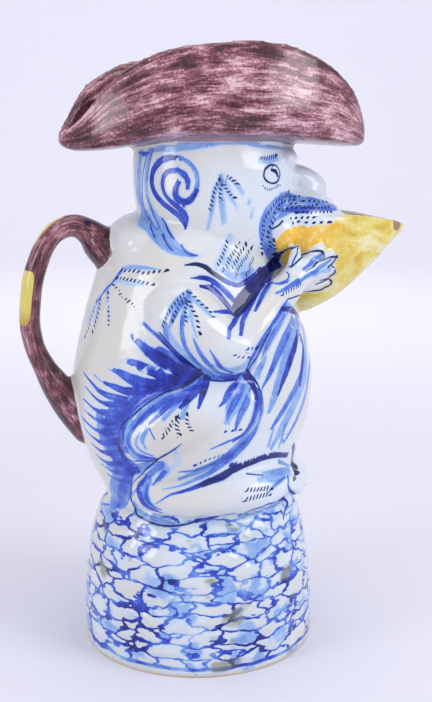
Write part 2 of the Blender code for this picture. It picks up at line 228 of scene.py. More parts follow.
def white_glaze(name):
    """White tin glaze: glossy, a little cool where it is thick and warm where it is thin, and greyer and
    warmer towards the back of the jug as painted shade.

    Returns the node tree, its shader and the colour, for a section to paint over."""
    material = bpy.data.materials.new(name)
    material.use_nodes = True
    tree = material.node_tree
    shader = tree.nodes["Principled BSDF"]
    shader.inputs["Roughness"].default_value = 0.14
    shader.inputs["IOR"].default_value = 1.5
    place = node(tree, "ShaderNodeTexCoord")["Object"]
    cloud = node(tree, "ShaderNodeTexNoise", {"Vector": place, "Scale": 20.0, "Detail": 3.0})
    # Painted shade: the white is made greyer and warmer towards the back of the jug.
    back = soft_step(tree, node(tree, "ShaderNodeSeparateXYZ", {0: place})["X"], 20 * MM, -35 * MM)
    white = colour_ramp(tree, maths(tree, "MULTIPLY_ADD", back, 0.13, cloud["Fac"]), WHITE)
    ripple = node(tree, "ShaderNodeTexNoise", {"Vector": place, "Scale": 90.0, "Detail": 2.0})
    bump = node(tree, "ShaderNodeBump", {"Height": ripple["Fac"], "Strength": 0.35, "Distance": 0.8 * MM})
    tree.links.new(bump[0], shader.inputs["Normal"])
    return material, tree, shader, place, white


def over(tree, under, paint, amount):
    """Paint laid over a colour where the amount is 1."""
    return node(tree, "ShaderNodeMix", {"Factor": amount, 6: under, 7: paint}, data_type="RGBA")[2]


def maths(tree, kind, *values, clamp=False):
    """One step of arithmetic between sockets and numbers."""
    return node(tree, "ShaderNodeMath", dict(enumerate(values)), operation=kind, use_clamp=clamp)[0]


def soft_step(tree, value, low, high):
    """0 below the low end, 1 above the high one and smooth between, or turned round if low is above high."""
    ends = {1: low, 2: high, 3: 0.0, 4: 1.0} if low < high else {1: high, 2: low, 3: 1.0, 4: 0.0}
    return node(tree, "ShaderNodeMapRange", {"Value": value, **ends}, interpolation_type="SMOOTHSTEP")[0]


def cloudy(tree, place, scale, detail=2.0, stretch=(1, 1, 1)):
    """Noise from 0 to 1 at so many waves to the metre."""
    longer = node(tree, "ShaderNodeVectorMath", {0: place, 1: stretch}, operation="MULTIPLY")
    return node(tree, "ShaderNodeTexNoise", {"Vector": longer[0], "Scale": scale, "Detail": detail})["Fac"]


def spot_on(tree, place, spot, uneven, outer, inner):
    """1 within the inner distance of a spot on the piece and 0 beyond the outer one, in millimetres."""
    centre = tuple(v * MM for v in spot)
    away = node(tree, "ShaderNodeVectorMath", {0: place, 1: centre}, operation="DISTANCE")["Value"]
    return soft_step(tree, maths(tree, "ADD", away, uneven), outer * MM, inner * MM)


COBALT = [
    (0.0, "#C4D8F0"), (0.2, "#B2CDEB"), (0.38, "#92B4E2"), (0.55, "#5F88D8"), (0.7, "#3C5ACB"),
    (0.85, "#2738AE"), (1.0, "#171F74"),
]
OUTLINE_INK = "#151C3F"


def cobalt_over(tree, under, pigment, ink=None):
    """Cobalt in the glaze, from a pale wash to deep violet blue by how much of it the brush left.

    It is a little grainy, as the ground pigment is, and darker where it pooled."""
    spot = node(tree, "ShaderNodeTexCoord")["Object"]
    pooled = maths(tree, "MULTIPLY", cloudy(tree, spot, 150.0), 0.8)
    grain = maths(tree, "MULTIPLY_ADD", cloudy(tree, spot, 1500.0, 2.0), 0.5, pooled)
    strength = maths(tree, "ADD", grain, 0.38)
    pigment = maths(tree, "MULTIPLY", maths(tree, "POWER", pigment, 0.85), strength, clamp=True)
    hiding = maths(tree, "MULTIPLY", pigment, 3.2, clamp=True)
    blue = over(tree, under, colour_ramp(tree, pigment, COBALT), hiding)
    return over(tree, blue, srgb(OUTLINE_INK), ink) if ink else blue


def edge_of(tree, name, place):
    """1 on the clay of one piece and 0 off it, with the wavering edge of a brushed-on colour."""
    field = node(tree, "ShaderNodeAttribute", attribute_name=name)["Fac"]
    waver = maths(tree, "MULTIPLY_ADD", cloudy(tree, place, 300.0), 0.8, -0.4)
    return soft_step(tree, maths(tree, "ADD", field, waver), -0.2, 0.25)


OLIVE = "#7C7D5A"
BARE_CLAY = "#CFC2AE"
BARE_RIM = 1.5 * MM

rock_glaze, tree, shader, place, white = white_glaze("cobalt rockwork on tin glaze")
glazes = {"base": (rock_glaze, tree, shader)}
stone_sizes = (STONE_WIDTH * MM, STONE_WIDTH * MM, STONE_HEIGHT * MM)
distance, in_stones = stone_net(tree, place, stone_sizes, (SEED, SEED, SEED))
heavy = soft_step(tree, cloudy(tree, place, 42.0, stretch=(1, 1, 1.5)), 0.42, 0.66)
quiver = maths(tree, "MULTIPLY", cloudy(tree, place, 260.0, 1.0), 0.11)
broad = maths(tree, "MULTIPLY_ADD", heavy, 0.02, quiver)
line = soft_step(tree, maths(tree, "SUBTRACT", distance, broad), 0.025, -0.02)
heavier = maths(tree, "MULTIPLY_ADD", heavy, 0.34, -0.12)
blotch = maths(tree, "MULTIPLY_ADD", cloudy(tree, place, 110.0), 1.1, heavier)
strength = maths(tree, "MULTIPLY_ADD", blotch, 1.12, 0.03, clamp=True)
cell = node(tree, "ShaderNodeTexVoronoi", {"Vector": in_stones, "Scale": 1.0}, feature="F1")
beside = soft_step(tree, distance, 0.34, 0.02)
some_stones = soft_step(tree, cell["Color"], 0.3, 0.6)
dabbed = maths(tree, "MULTIPLY", some_stones, soft_step(tree, cloudy(tree, place, 100.0, 2.0), 0.44, 0.62))
wash = maths(tree, "MULTIPLY", maths(tree, "MAXIMUM", dabbed, maths(tree, "MULTIPLY", beside, 0.25)), 0.33)
height = node(tree, "ShaderNodeSeparateXYZ", {0: place})["Z"]
hem_line = maths(tree, "MULTIPLY_ADD", cloudy(tree, place, 90.0), 3.0 * MM, 2.6 * MM)
hem = soft_step(tree, maths(tree, "ABSOLUTE", maths(tree, "SUBTRACT", height, hem_line)), 1.1 * MM, 0.7 * MM)
above_hem = soft_step(tree, maths(tree, "SUBTRACT", height, hem_line), -0.3 * MM, 0.3 * MM)
drawn = maths(tree, "MAXIMUM", maths(tree, "MULTIPLY", line, above_hem), maths(tree, "MULTIPLY", hem, 0.85))
off_line = maths(tree, "SUBTRACT", 1.0, maths(tree, "MULTIPLY", drawn, strength))
kept = maths(tree, "MULTIPLY", off_line, maths(tree, "SUBTRACT", 1.0, wash))
on_base = edge_of(tree, "on_base", place)
rock_pigment = maths(tree, "MULTIPLY", maths(tree, "SUBTRACT", 1.0, kept), on_base)
few = soft_step(tree, cloudy(tree, place, 60.0, stretch=(1, 1, 1.8)), 0.6, 0.7)
olive = maths(tree, "MULTIPLY", maths(tree, "MULTIPLY", few, on_base), 0.7)
mossy = over(tree, cobalt_over(tree, white, rock_pigment), srgb(OLIVE), olive)
wiped = maths(tree, "ADD", height, maths(tree, "MULTIPLY", cloudy(tree, place, 160.0), 1.2 * MM))
bare = soft_step(tree, wiped, BARE_RIM + 0.7 * MM, BARE_RIM)
tree.links.new(over(tree, mossy, srgb(BARE_CLAY), bare), shader.inputs["Base Color"])
tree.links.new(maths(tree, "MULTIPLY_ADD", bare, 0.65, 0.1), shader.inputs["Roughness"])

drum = turned_drum()
press = drum.modifiers.new("pressed rockwork", "NODES")
press.node_group = rockwork_tree(rock_glaze)
seed_socket = next(s for s in press.node_group.interface.items_tree if s.name == "Seed")
press[seed_socket.identifier] = SEED
clay["base"] = [made_mesh(drum)]


# Belly, chest and back
#
# The body is thrown as one egg-shaped pot and squeezed a little flat at the sides. Height, back
# and front in profile and half width are its sections.

BELLY = [
    (60, -36, 41, 37), (70, -42, 42.5, 41.5), (80, -47, 43.5, 44.5), (93, -52, 46.6, 47.5),
    (109, -56, 51.4, 49), (124, -57, 52.8, 49.5), (140, -54.5, 50.5, 48.5), (152, -51.5, 46, 47),
    (164, -48, 40, 45), (175, -44.5, 34, 42.5), (184, -39.5, 30, 38), (192, -32, 26, 32),
    (199, -22, 22, 24),
]
RING_POINTS = 64
BODY_WALL = 5.5


def skin_rings(name, rings, capped=True, closed_rings=True):
    """A skin over sections that differ from one to the next."""
    bm = bmesh.new()
    loops = [[bm.verts.new(Vector(point) * MM) for point in ring] for ring in rings]
    count = len(loops[0])
    for lower, upper in zip(loops, loops[1:]):
        for i in range(count if closed_rings else count - 1):
            j = (i + 1) % count
            bm.faces.new((lower[i], lower[j], upper[j], upper[i]))
    if capped:
        bm.faces.new(loops[0])
        bm.faces.new(loops[-1])
    return piece_of_clay(name, bm)


def section_curves(sections, at, *columns):
    """Columns of a table of sections, as smooth curves over its first column."""
    return [smooth_curve([s[0] for s in sections], [s[k] for s in sections], at) for k in columns]


def upright_rings(sections, inset=0.0):
    """Egg-shaped rings, one above another, each drawn in by the inset."""
    fine = np.linspace(sections[0][0], sections[-1][0], 6 * (len(sections) - 1) + 1)
    back, front, half = section_curves(sections, fine, 1, 2, 3)
    turns = np.linspace(0, 2 * math.pi, RING_POINTS, endpoint=False)
    rings = []
    for z, b, f, h in zip(fine, back, front, half):
        middle, reach = (b + f) / 2, (f - b) / 2
        rings.append([(middle + (reach - inset) * math.cos(a), (h - inset) * math.sin(a), z) for a in turns])
    return rings


clay["body"] = [skin_rings("belly", upright_rings(BELLY))]

# Its white glaze is painted with a pointed brush in cobalt. Each stroke is given as how much
# cobalt it carries (over 1 for the blue-black outlines, two values where it fades along), the
# spacing of its ticks, or 0 for a whole stroke, its width, or one width for each point, and its
# points by turn round the jug in degrees and height.

body_glaze, tree, shader, place, white = white_glaze("cobalt brushwork on tin glaze")
tree.links.new(white, shader.inputs["Base Color"])
glazes["body"] = (body_glaze, tree, shader)
brushwork = [
    (0.34, 0, (1.3, 2.1, 2.1, 0.6), [(-148.6, 172.6), (-142.9, 177.1), (-132.8, 177.9), (-121.9, 177.7)]),
    (0.58, 0, (1.3, 1.3, 1.3, 1.3, 0.9), [(-160.9, 162.1), (-156.8, 166.8), (-151.2, 170.3),
        (-147.7, 173.9), (-145.4, 176.9)]),
    (0.28, 0, 1.7, [(-154, 167.5), (-151.4, 161.9), (-147.9, 155.9)]),
    (0.28, 0, 1.7, [(-160.2, 163.1), (-159.3, 158), (-160.2, 153.6)]),
    (0.2, 0, 2.1, [(-146.5, 171.5), (-137.2, 171.4), (-130.2, 171.5)]),
    (0.26, 0, 1.3, [(-163.3, 161.9), (-165.8, 156.4), (-167.7, 150.9)]),
    (1.2, 2.5, 1.3, [(-147.3, 176), (-139.1, 176.3), (-134.1, 176.4), (-130.5, 176), (-127.4, 175.9),
        (-123.9, 176.5), (-116.5, 177.3)]),
    (1.2, 2.1, 1.3, [(-147.8, 172.7), (-140.6, 172.8), (-134.9, 172.5), (-131, 172.3), (-127.3, 171.9),
        (-123.6, 171.6)]),
    (1.2, 2, 1.3, [(-150.2, 170), (-145.2, 167.9), (-142.5, 166), (-140, 164.9), (-137, 163.9),
        (-133.6, 162.7), (-130.5, 161.9)]),
    (1.2, 2, 1.2, [(-153.6, 166.7), (-151.8, 163.1), (-150, 159), (-148.4, 155), (-146.2, 150.2)]),
    (1.2, 2, 1.2, [(-159.3, 163.6), (-158.7, 159.8), (-158.5, 156.4), (-159.5, 152.4), (-160.6, 148)]),
    (1.2, 2, 1.1, [(-163, 161.5), (-164, 157.5), (-164.9, 153), (-166, 148.9), (-168.1, 145.5)]),
]

# Stripes down the chest.

brushwork += [
    (0.36, 0, (5.1, 7.6, 7.1, 5.1, 1.7), [(-53.6, 160.8), (-59.6, 153.9), (-64.7, 147.2), (-65, 139),
        (-69.5, 132.2)]),
    (0.4, 0, (5.4, 7.9, 6.9, 5.2, 2.1), [(-23.2, 152), (-40.5, 143.8), (-49.3, 134.6), (-55.9, 125),
        (-60.3, 116.7)]),
    (0.36, 0, (3.6, 5.4, 5.8, 5.3, 4.8, 2.2), [(-18.7, 145.9), (-26.3, 137.2), (-31.7, 127.3), (-40.4, 118),
        (-49.3, 108.7), (-56.4, 99.7)]),
    (0.95, 0, (2.1, 4, 2.3), [(-56.8, 160.8), (-29.1, 156.2), (-15.9, 152.4)]),
    (0.6, 0, (0.8, 1.7, 1.3), [(-54, 163.8), (-59, 160.2), (-62.8, 156.9)]),
    (0.5, 0, (2.1, 3.8, 3.7, 1.2), [(-57.5, 157.1), (-62.6, 152.6), (-67.4, 147.3), (-70, 141.9)]),
    (0.55, 0, (3.1, 4.3, 3.9, 2.6, 0.6), [(-33.2, 152.4), (-46.3, 146.3), (-53.8, 139.9), (-59.5, 133.2),
        (-66.5, 126.1)]),
    (0.8, 0, (1.3, 3.5, 3.9, 3, 0.9), [(-31.3, 147.3), (-38.4, 141.8), (-44.9, 136.1), (-50, 130.3),
        (-54.5, 123.5)]),
    (0.85, 0, (0.9, 2.2, 2.7, 2.7), [(-27.8, 144.6), (-29.2, 138.6), (-33.3, 132.6), (-37, 125.6)]),
    (0.55, 0, (2.2, 3.5, 3.5, 1.3), [(-31.6, 133.6), (-40, 124.8), (-49.6, 116.4), (-58.1, 108.3)]),
    (0.45, 0, (1.8, 2.8, 3.2, 3.1, 2.7, 1.3), [(-15.8, 147.8), (-11.9, 138), (-23.5, 128.6), (-29.8, 118.3),
        (-36.6, 110.4), (-46.1, 100.6)]),
    (0.38, 0, 1.3, [(-48.4, 108), (-50.6, 98.6)]),
    (0.38, 0, 1.3, [(-57.3, 107.2), (-59.5, 100.2)]),
    (0.3, 0, 1.3, [(-71, 145.3), (-65.5, 136.9), (-67, 132.4)]),
]


# Arms and hands
#
# Rolls of clay luted to the shoulders. The hands hold the shell from both sides, each with a
# thumb up and four fingers along its flank. The same rolls are laid mirrored on the far side.

ARMS = {
    "upper_arm": ([(-12, -36, 158), (-6, -42, 152), (4, -46, 146), (10, -47, 144.5)], [17, 15.5, 12, 10.5]),
    "forearm": ([(11, -46, 145), (19, -42.5, 154), (28, -36, 163), (36, -29.5, 169)], [10.5, 9.5, 8, 6.6]),
    "palm": ([(37, -28, 170), (43.5, -25.5, 174)], [6.6, 6.4]),
    "thumb": ([(37, -28, 173), (37.6, -28.4, 178), (39, -27.4, 183.4)], [3.2, 2.7, 2.3]),
    "finger_1": ([(42, -25.6, 176), (46.4, -25.6, 180), (50.4, -24.6, 183.4)], [2.8, 2.5, 2.2]),
    "finger_2": ([(44, -25.8, 174), (50, -25.2, 177.4), (55.4, -23.4, 180)], [2.8, 2.5, 2.2]),
    "finger_3": ([(45, -25, 170.8), (50.8, -24, 172.6), (56.2, -22, 174.4)], [2.8, 2.5, 2.1]),
    "finger_4": ([(44, -23.8, 167.2), (49, -22.4, 167.6), (54, -20.4, 169)], [2.7, 2.4, 2]),
}


def roll(name, points, radii, widening=1.0, spread=1.0):
    """A roll of clay along a path, with round ends. The widening stretches it along Y."""
    path = [Vector(p) * MM for p in points]
    widths = [r * MM for r in radii]
    lead = (path[0] - path[1]).normalized() * widths[0] * spread
    tail = (path[-1] - path[-2]).normalized() * widths[-1] * spread
    path = [path[0] + lead * 0.96, path[0] + lead * 0.7, *path, path[-1] + tail * 0.7, path[-1] + tail * 0.96]
    widths = [widths[0] * 0.28, widths[0] * 0.71, *widths, widths[-1] * 0.71, widths[-1] * 0.28]
    along = np.arange(len(path))
    fine = np.linspace(0, len(path) - 1, 6 * (len(path) - 1) + 1)
    curve = bpy.data.curves.new(name, "CURVE")
    curve.dimensions = "3D"
    curve.bevel_mode = "ROUND"
    curve.bevel_depth = 1
    curve.bevel_resolution = 6
    curve.use_fill_caps = True
    spline = curve.splines.new("POLY")
    spline.points.add(len(fine) - 1)
    axes = [smooth_curve(along, [p[k] for p in path], fine) for k in range(3)]
    for point, x, y, z, r in zip(spline.points, *axes, smooth_curve(along, widths, fine)):
        point.co = (x, y / widening, z, 1)
        point.radius = r
    obj = bpy.data.objects.new(name, curve)
    raw_clay.objects.link(obj)
    obj.scale = (1, widening, 1)
    return made_mesh(obj)


def both_sides(rolls):
    made = []
    for name, (points, radii) in rolls.items():
        for side in (1, -1):
            made.append(roll(f"{name}_{side}", [(x, side * y, z) for x, y, z in points], radii))
    return made


clay["body"] += both_sides(ARMS)

# Fur in blue under the elbow and in ticks over the upper arm.

brushwork += [
    (0.3, 0, (2.9, 4.5, 5.3, 5, 3.7, 2.5), [(-112.6, 155.2), (-109.7, 149), (-104.5, 143.6), (-98.3, 138.3),
        (-90.1, 134.9), (-79.8, 133)]),
    (0.26, 0, (2.1, 3.7, 3.3, 2.1), [(-75.6, 135.4), (-73.8, 143.2), (-68.2, 150), (-60, 158.2)]),
    (1.1, 0, (0.7, 0.7, 0.7, 0.7, 0.6, 0.6, 0.5), [(-116, 152.6), (-109, 145.9), (-102.5, 140.1),
        (-96.4, 135), (-92.5, 132.4), (-87.1, 131.7), (-80.5, 131.8)]),
    (0.42, 0, (1.2, 2.9, 2.5, 2.5, 2.1, 1.2), [(-112.6, 156.4), (-113, 150.8), (-110.6, 145.6),
        (-106, 140.2), (-99.8, 135.5), (-93, 132.8)]),
    (0.48, 0, (1.2, 2, 2, 2.5, 2.5, 1.7), [(-105.5, 159.6), (-105.4, 152.8), (-103.5, 146.4),
        (-98.8, 139.9), (-92, 134), (-84, 132.4)]),
    (0.5, 0, (0.6, 2, 2.1, 2.5, 1.7), [(-100.4, 150.9), (-98, 145.4), (-94.5, 140.3), (-88.4, 135.5),
        (-79.8, 133)]),
    (0.6, 0, (0.6, 1.6, 1.9, 1.2), [(-93.5, 145.9), (-91.3, 142.3), (-88.4, 138.5), (-83, 135.5)]),
    (0.25, 0, (2.5, 3.3, 3.3, 3.3, 2.5), [(-91.5, 139.4), (-84.7, 137.4), (-78.6, 139.1), (-74.3, 144.9),
        (-70.6, 149.5)]),
    (0.65, 0, (1.3, 2.1, 2.1, 1.2), [(-87, 133.4), (-81.9, 132.7), (-78.1, 134.3), (-77, 136.3)]),
    (0.6, 0, (1.3, 1.8, 1.7, 1.2, 0.8), [(-56.5, 162), (-65.3, 155.1), (-71.1, 149.5), (-76.2, 143),
        (-77.4, 138)]),
    (1.1, 0, (0.5, 1, 0.8, 0.7, 0.5), [(-66.5, 152.7), (-69.4, 148.9), (-72.7, 144.3), (-75.7, 139.8),
        (-76.6, 136.9)]),
    (1, 1.9, 1, [(-84.5, 144.8), (-81.4, 143.3), (-78.4, 143.2)]),
    (1, 1.7, 1.2, [(-78.4, 146.5), (-74.2, 146.5)]),
    (0.3, 0, (1.6, 2.4, 1.2), [(-101.9, 167.6), (-97.8, 164.9), (-93.1, 160.2)]),
    (0.4, 0, (1.2, 2.4, 2, 0.8), [(-103.9, 169.8), (-108.1, 166.5), (-111.3, 161.8), (-113.6, 157.6)]),
    (0.42, 0, (1.6, 2.9, 2.4, 1.2), [(-103.4, 168.7), (-106.6, 164.6), (-109, 160.3), (-110.7, 156.2)]),
    (0.38, 0, (1.6, 2.4, 1.6), [(-102.9, 168.7), (-104.4, 163.5), (-105, 158.1)]),
    (0.3, 0, (1.6, 2, 1.2, 0.8), [(-102.5, 169.1), (-101.8, 163.9), (-101.3, 158.9), (-99.6, 153)]),
    (1.2, 1.8, 1.2, [(-104.8, 169.5), (-107.7, 166.5), (-110.1, 163.8), (-111.8, 161.3), (-113.1, 158.4),
        (-114.7, 154.9)]),
    (1.2, 1.7, 1.2, [(-103.7, 167.6), (-106.7, 165), (-108.2, 161.9), (-109.4, 158.7)]),
    (1.2, 1.8, 1.1, [(-103.6, 165.4), (-104.3, 162.4), (-103.8, 159.7), (-103.7, 157.4)]),
    (1.2, 2.3, 1.2, [(-102.5, 169.1), (-99.6, 167.2), (-97.4, 165), (-94.7, 163.3), (-92.8, 161.3),
        (-91.4, 158.6)]),
    (1.2, 2.3, 1.2, [(-103.3, 167.2), (-101.3, 163.2), (-100, 161.3), (-99, 159.1), (-98.8, 156.8),
        (-98, 154.2)]),
]

# Fingers drawn round in outline ink.

brushwork += [
    (1, 0, 0.5, [(-45.6, 173.2), (-40.8, 176.6), (-39.4, 179.5), (-37.4, 182.9), (-36, 185.1)]),
    (0.5, 0, (1.3, 2.2, 2.2), [(-37, 176.1), (-32.7, 178.4), (-28.3, 180.6)]),
    (1.2, 0, (0.4, 0.7, 0.8, 0.8, 1), [(-36.8, 175.1), (-31.7, 177.4), (-27.6, 179), (-25.2, 179.9),
        (-20.3, 179.4)]),
    (1.2, 0, 0.7, [(-20.2, 179.2), (-21, 177.2), (-24.1, 175.8)]),
    (0.52, 0, (1.3, 1.7, 2.2, 1.3), [(-43.8, 169.9), (-35.4, 173.5), (-28, 176.2), (-25.6, 178.2)]),
    (1.2, 0, (0.6, 0.8, 0.7, 0.6, 0.4), [(-22.3, 175.2), (-18.5, 172.9), (-18.7, 171.1), (-21.8, 169.7),
        (-26.8, 168.1)]),
    (0.3, 0, 1.8, [(-33.3, 172.8), (-24.8, 174.1)]),
    (1.2, 0, (0.4, 0.6, 0.9, 0.9, 0.8, 0.7, 0.5, 0.4), [(-25.7, 169.7), (-20.7, 169.8), (-17.5, 168.3),
        (-16.6, 166.3), (-17.4, 165.5), (-20.3, 164), (-41.5, 164.9), (-51.7, 164.6)]),
    (0.65, 0, (0.9, 1.7, 1.7, 0.6), [(-54.1, 170.7), (-52.5, 170.7), (-49, 171.5), (-47, 172.5)]),
    (0.6, 0, (1.1, 1.7, 2.1, 1.7), [(-57.2, 167.3), (-52.8, 168.4), (-47.8, 169.8), (-43.2, 171.1)]),
    (1, 1.7, 1.5, [(-55.1, 166.7), (-50.4, 167.8), (-44.9, 169), (-40.9, 169.6)]),
]


# Legs and feet
#
# Haunch, shin and foot are thicker rolls, folded up against the belly, with the long foot lying
# on the rock and its toes pressed apart.

LEGS = {
    "thigh": ([(-25, -38, 107), (-12, -40, 115), (4, -40, 121)], [15, 17.5, 14.5]),
    "shin": ([(11, -41, 120), (-3, -42, 107), (-20, -39, 94)], [12.5, 12.5, 10.5]),
    "foot": ([(-26, -38, 82), (-8, -42.5, 79.5), (14, -42, 80.5), (30, -32, 82.5)], [9, 9, 9.5, 8.6]),
    "toe_1": ([(31, -32, 81), (39.5, -30.5, 77.5)], [5.2, 4]),
    "toe_2": ([(33, -25.5, 82), (43.2, -22.6, 77.5)], [5.2, 4]),
    "toe_3": ([(34, -19, 82.5), (45.6, -14.6, 77.5)], [5.2, 4]),
    "toe_4": ([(34, -12, 82.5), (46.6, -6.4, 77.5)], [5.2, 4]),
}

clay["body"] += both_sides(LEGS)

# A fan of pointed strokes spreads from the hip over the flank.

brushwork += [
    (0.5, 0, (2.5, 5.8, 7.5, 8.4, 9.3, 10.2, 10.3), [(-99.8, 133.8), (-105.5, 132.1), (-112.2, 130.8),
        (-118.8, 128), (-125.5, 124.3), (-131.2, 119.4), (-136.3, 113.6)]),
    (0.52, 0, (7.7, 11.2, 12.1, 11.3, 7.8), [(-136.5, 120.6), (-139.7, 113.1), (-141.8, 105.6),
        (-141.3, 99.2), (-138.9, 93.4)]),
    (0.48, 0, (4.3, 7, 7.9, 5.2), [(-149.8, 114.2), (-148.7, 107.1), (-146.2, 100.2), (-142.6, 94.2)]),
    (0.42, 0, (3.5, 6.1, 6, 3.8, 2.1), [(-149.3, 90), (-139.2, 90), (-129.9, 92.9), (-120.4, 96.8),
        (-116, 97.4)]),
    (0.46, 0, (7, 9.8, 10.1), [(-140.3, 90.8), (-146.7, 81.6), (-160.7, 70.3)]),
    (0.6, 0, (5, 7.5, 5.8), [(-117.3, 144), (-110.4, 140.4), (-103.6, 136.3)]),
    ((0.6, 1), 0, (1.7, 2.9, 3.3, 3.3, 3.3, 2.5), [(-125.7, 154.7), (-117.9, 151.1), (-112.5, 147.2),
        (-108, 143), (-103.6, 139), (-98.8, 135.4)]),
    ((0.62, 0.95), 0, (0.8, 2.9, 4.6, 6.2, 6.2, 4.2), [(-135, 151.2), (-128.9, 147.5), (-122.4, 143.7),
        (-115.8, 140.3), (-108.9, 136.7), (-101.2, 134.2)]),
    ((0.62, 0.9), 0, (0.8, 3.4, 4.2, 5, 4.6, 2.9), [(-137, 139.7), (-130.3, 138.6), (-124, 136.8),
        (-117.1, 134.8), (-109.8, 133.4), (-102.7, 133)]),
    ((0.6, 0.82), 0, (0.9, 3, 5.1, 5.9, 5.8, 4.6, 2.5), [(-144.8, 135.5), (-137.5, 133.8), (-130.9, 131.7),
        (-123.7, 129.9), (-116.9, 129.8), (-109.3, 130.8), (-103.6, 132.6)]),
    ((0.78, 0.68), 0, (1.3, 2.6, 3.4, 3.8, 2.5), [(-145.7, 128.6), (-139.8, 127.6), (-133.8, 126.5),
        (-126.6, 127.1), (-118.8, 128.9)]),
    (0.66, 0, (0.5, 1.3, 2.1, 3.1, 3.6), [(-162.1, 130.3), (-154.5, 127.2), (-148.9, 124.6),
        (-141.4, 123.1), (-134.9, 122.5)]),
    (0.4, 0, 0.6, [(-152.9, 130.9), (-148.3, 129.1), (-143.9, 127.5)]),
    (0.65, 0, (0.5, 1.3, 2.6, 3.6), [(-159.5, 124.5), (-151, 120.7), (-144, 119.6), (-136, 120.2)]),
    (0.66, 0, (0.8, 1.6, 3.1, 4.1), [(-162, 118.7), (-152.9, 115.9), (-145, 115.4), (-136.1, 116.7)]),
    (0.68, 0, (0.8, 1.6, 3.6, 4.6), [(-162, 113.6), (-152.9, 111.4), (-144.8, 111.4), (-135.2, 113.4)]),
    (0.64, 0, (0.8, 1.6, 3.1, 4.1), [(-166.5, 109.4), (-154.6, 106.5), (-145.4, 106.8), (-133.7, 110.2)]),
    (0.64, 0, (0.5, 1.6, 3.1, 4.1), [(-164.5, 103.8), (-154.8, 101.3), (-146.5, 101.5), (-132.8, 106.3)]),
    (0.68, 0, (0.5, 1.6, 3.1, 3.6), [(-161.2, 98.4), (-153.7, 96.3), (-145.1, 97.1), (-130.9, 102.2)]),
    (0.62, 0, (0.5, 1.6, 3.2, 3.6), [(-159, 93.2), (-151.7, 91.5), (-143.1, 92.2), (-132.8, 94.9)]),
    (0.58, 0, (0.5, 1.6, 2.6, 3.1), [(-156.8, 89.3), (-148.9, 87.7), (-139.8, 88.4), (-131.4, 91.2)]),
    (0.58, 0, (0.9, 2.2, 2.6), [(-154.2, 85), (-146.2, 83.8), (-137.1, 84.5)]),
    (0.66, 0, (3.8, 5.5, 5.5, 4.7, 3.8, 3.9, 4.8), [(-120.8, 127.1), (-128.1, 122.7), (-132.9, 117.5),
        (-133.1, 111.2), (-133.2, 104.8), (-137, 96.1), (-134.6, 90.8)]),
    ((0.62, 0.45), 0, (4.8, 6.6, 7.6, 6.4), [(-134.4, 91.8), (-139.4, 84.1), (-145.6, 76.8),
        (-153.2, 70.5)]),
    (1, 0, (2.1, 3.7, 1.7), [(-98.8, 135.9), (-101.7, 133.4), (-105.4, 130.2)]),
]

# Haunch and knee, shaded round their edges.

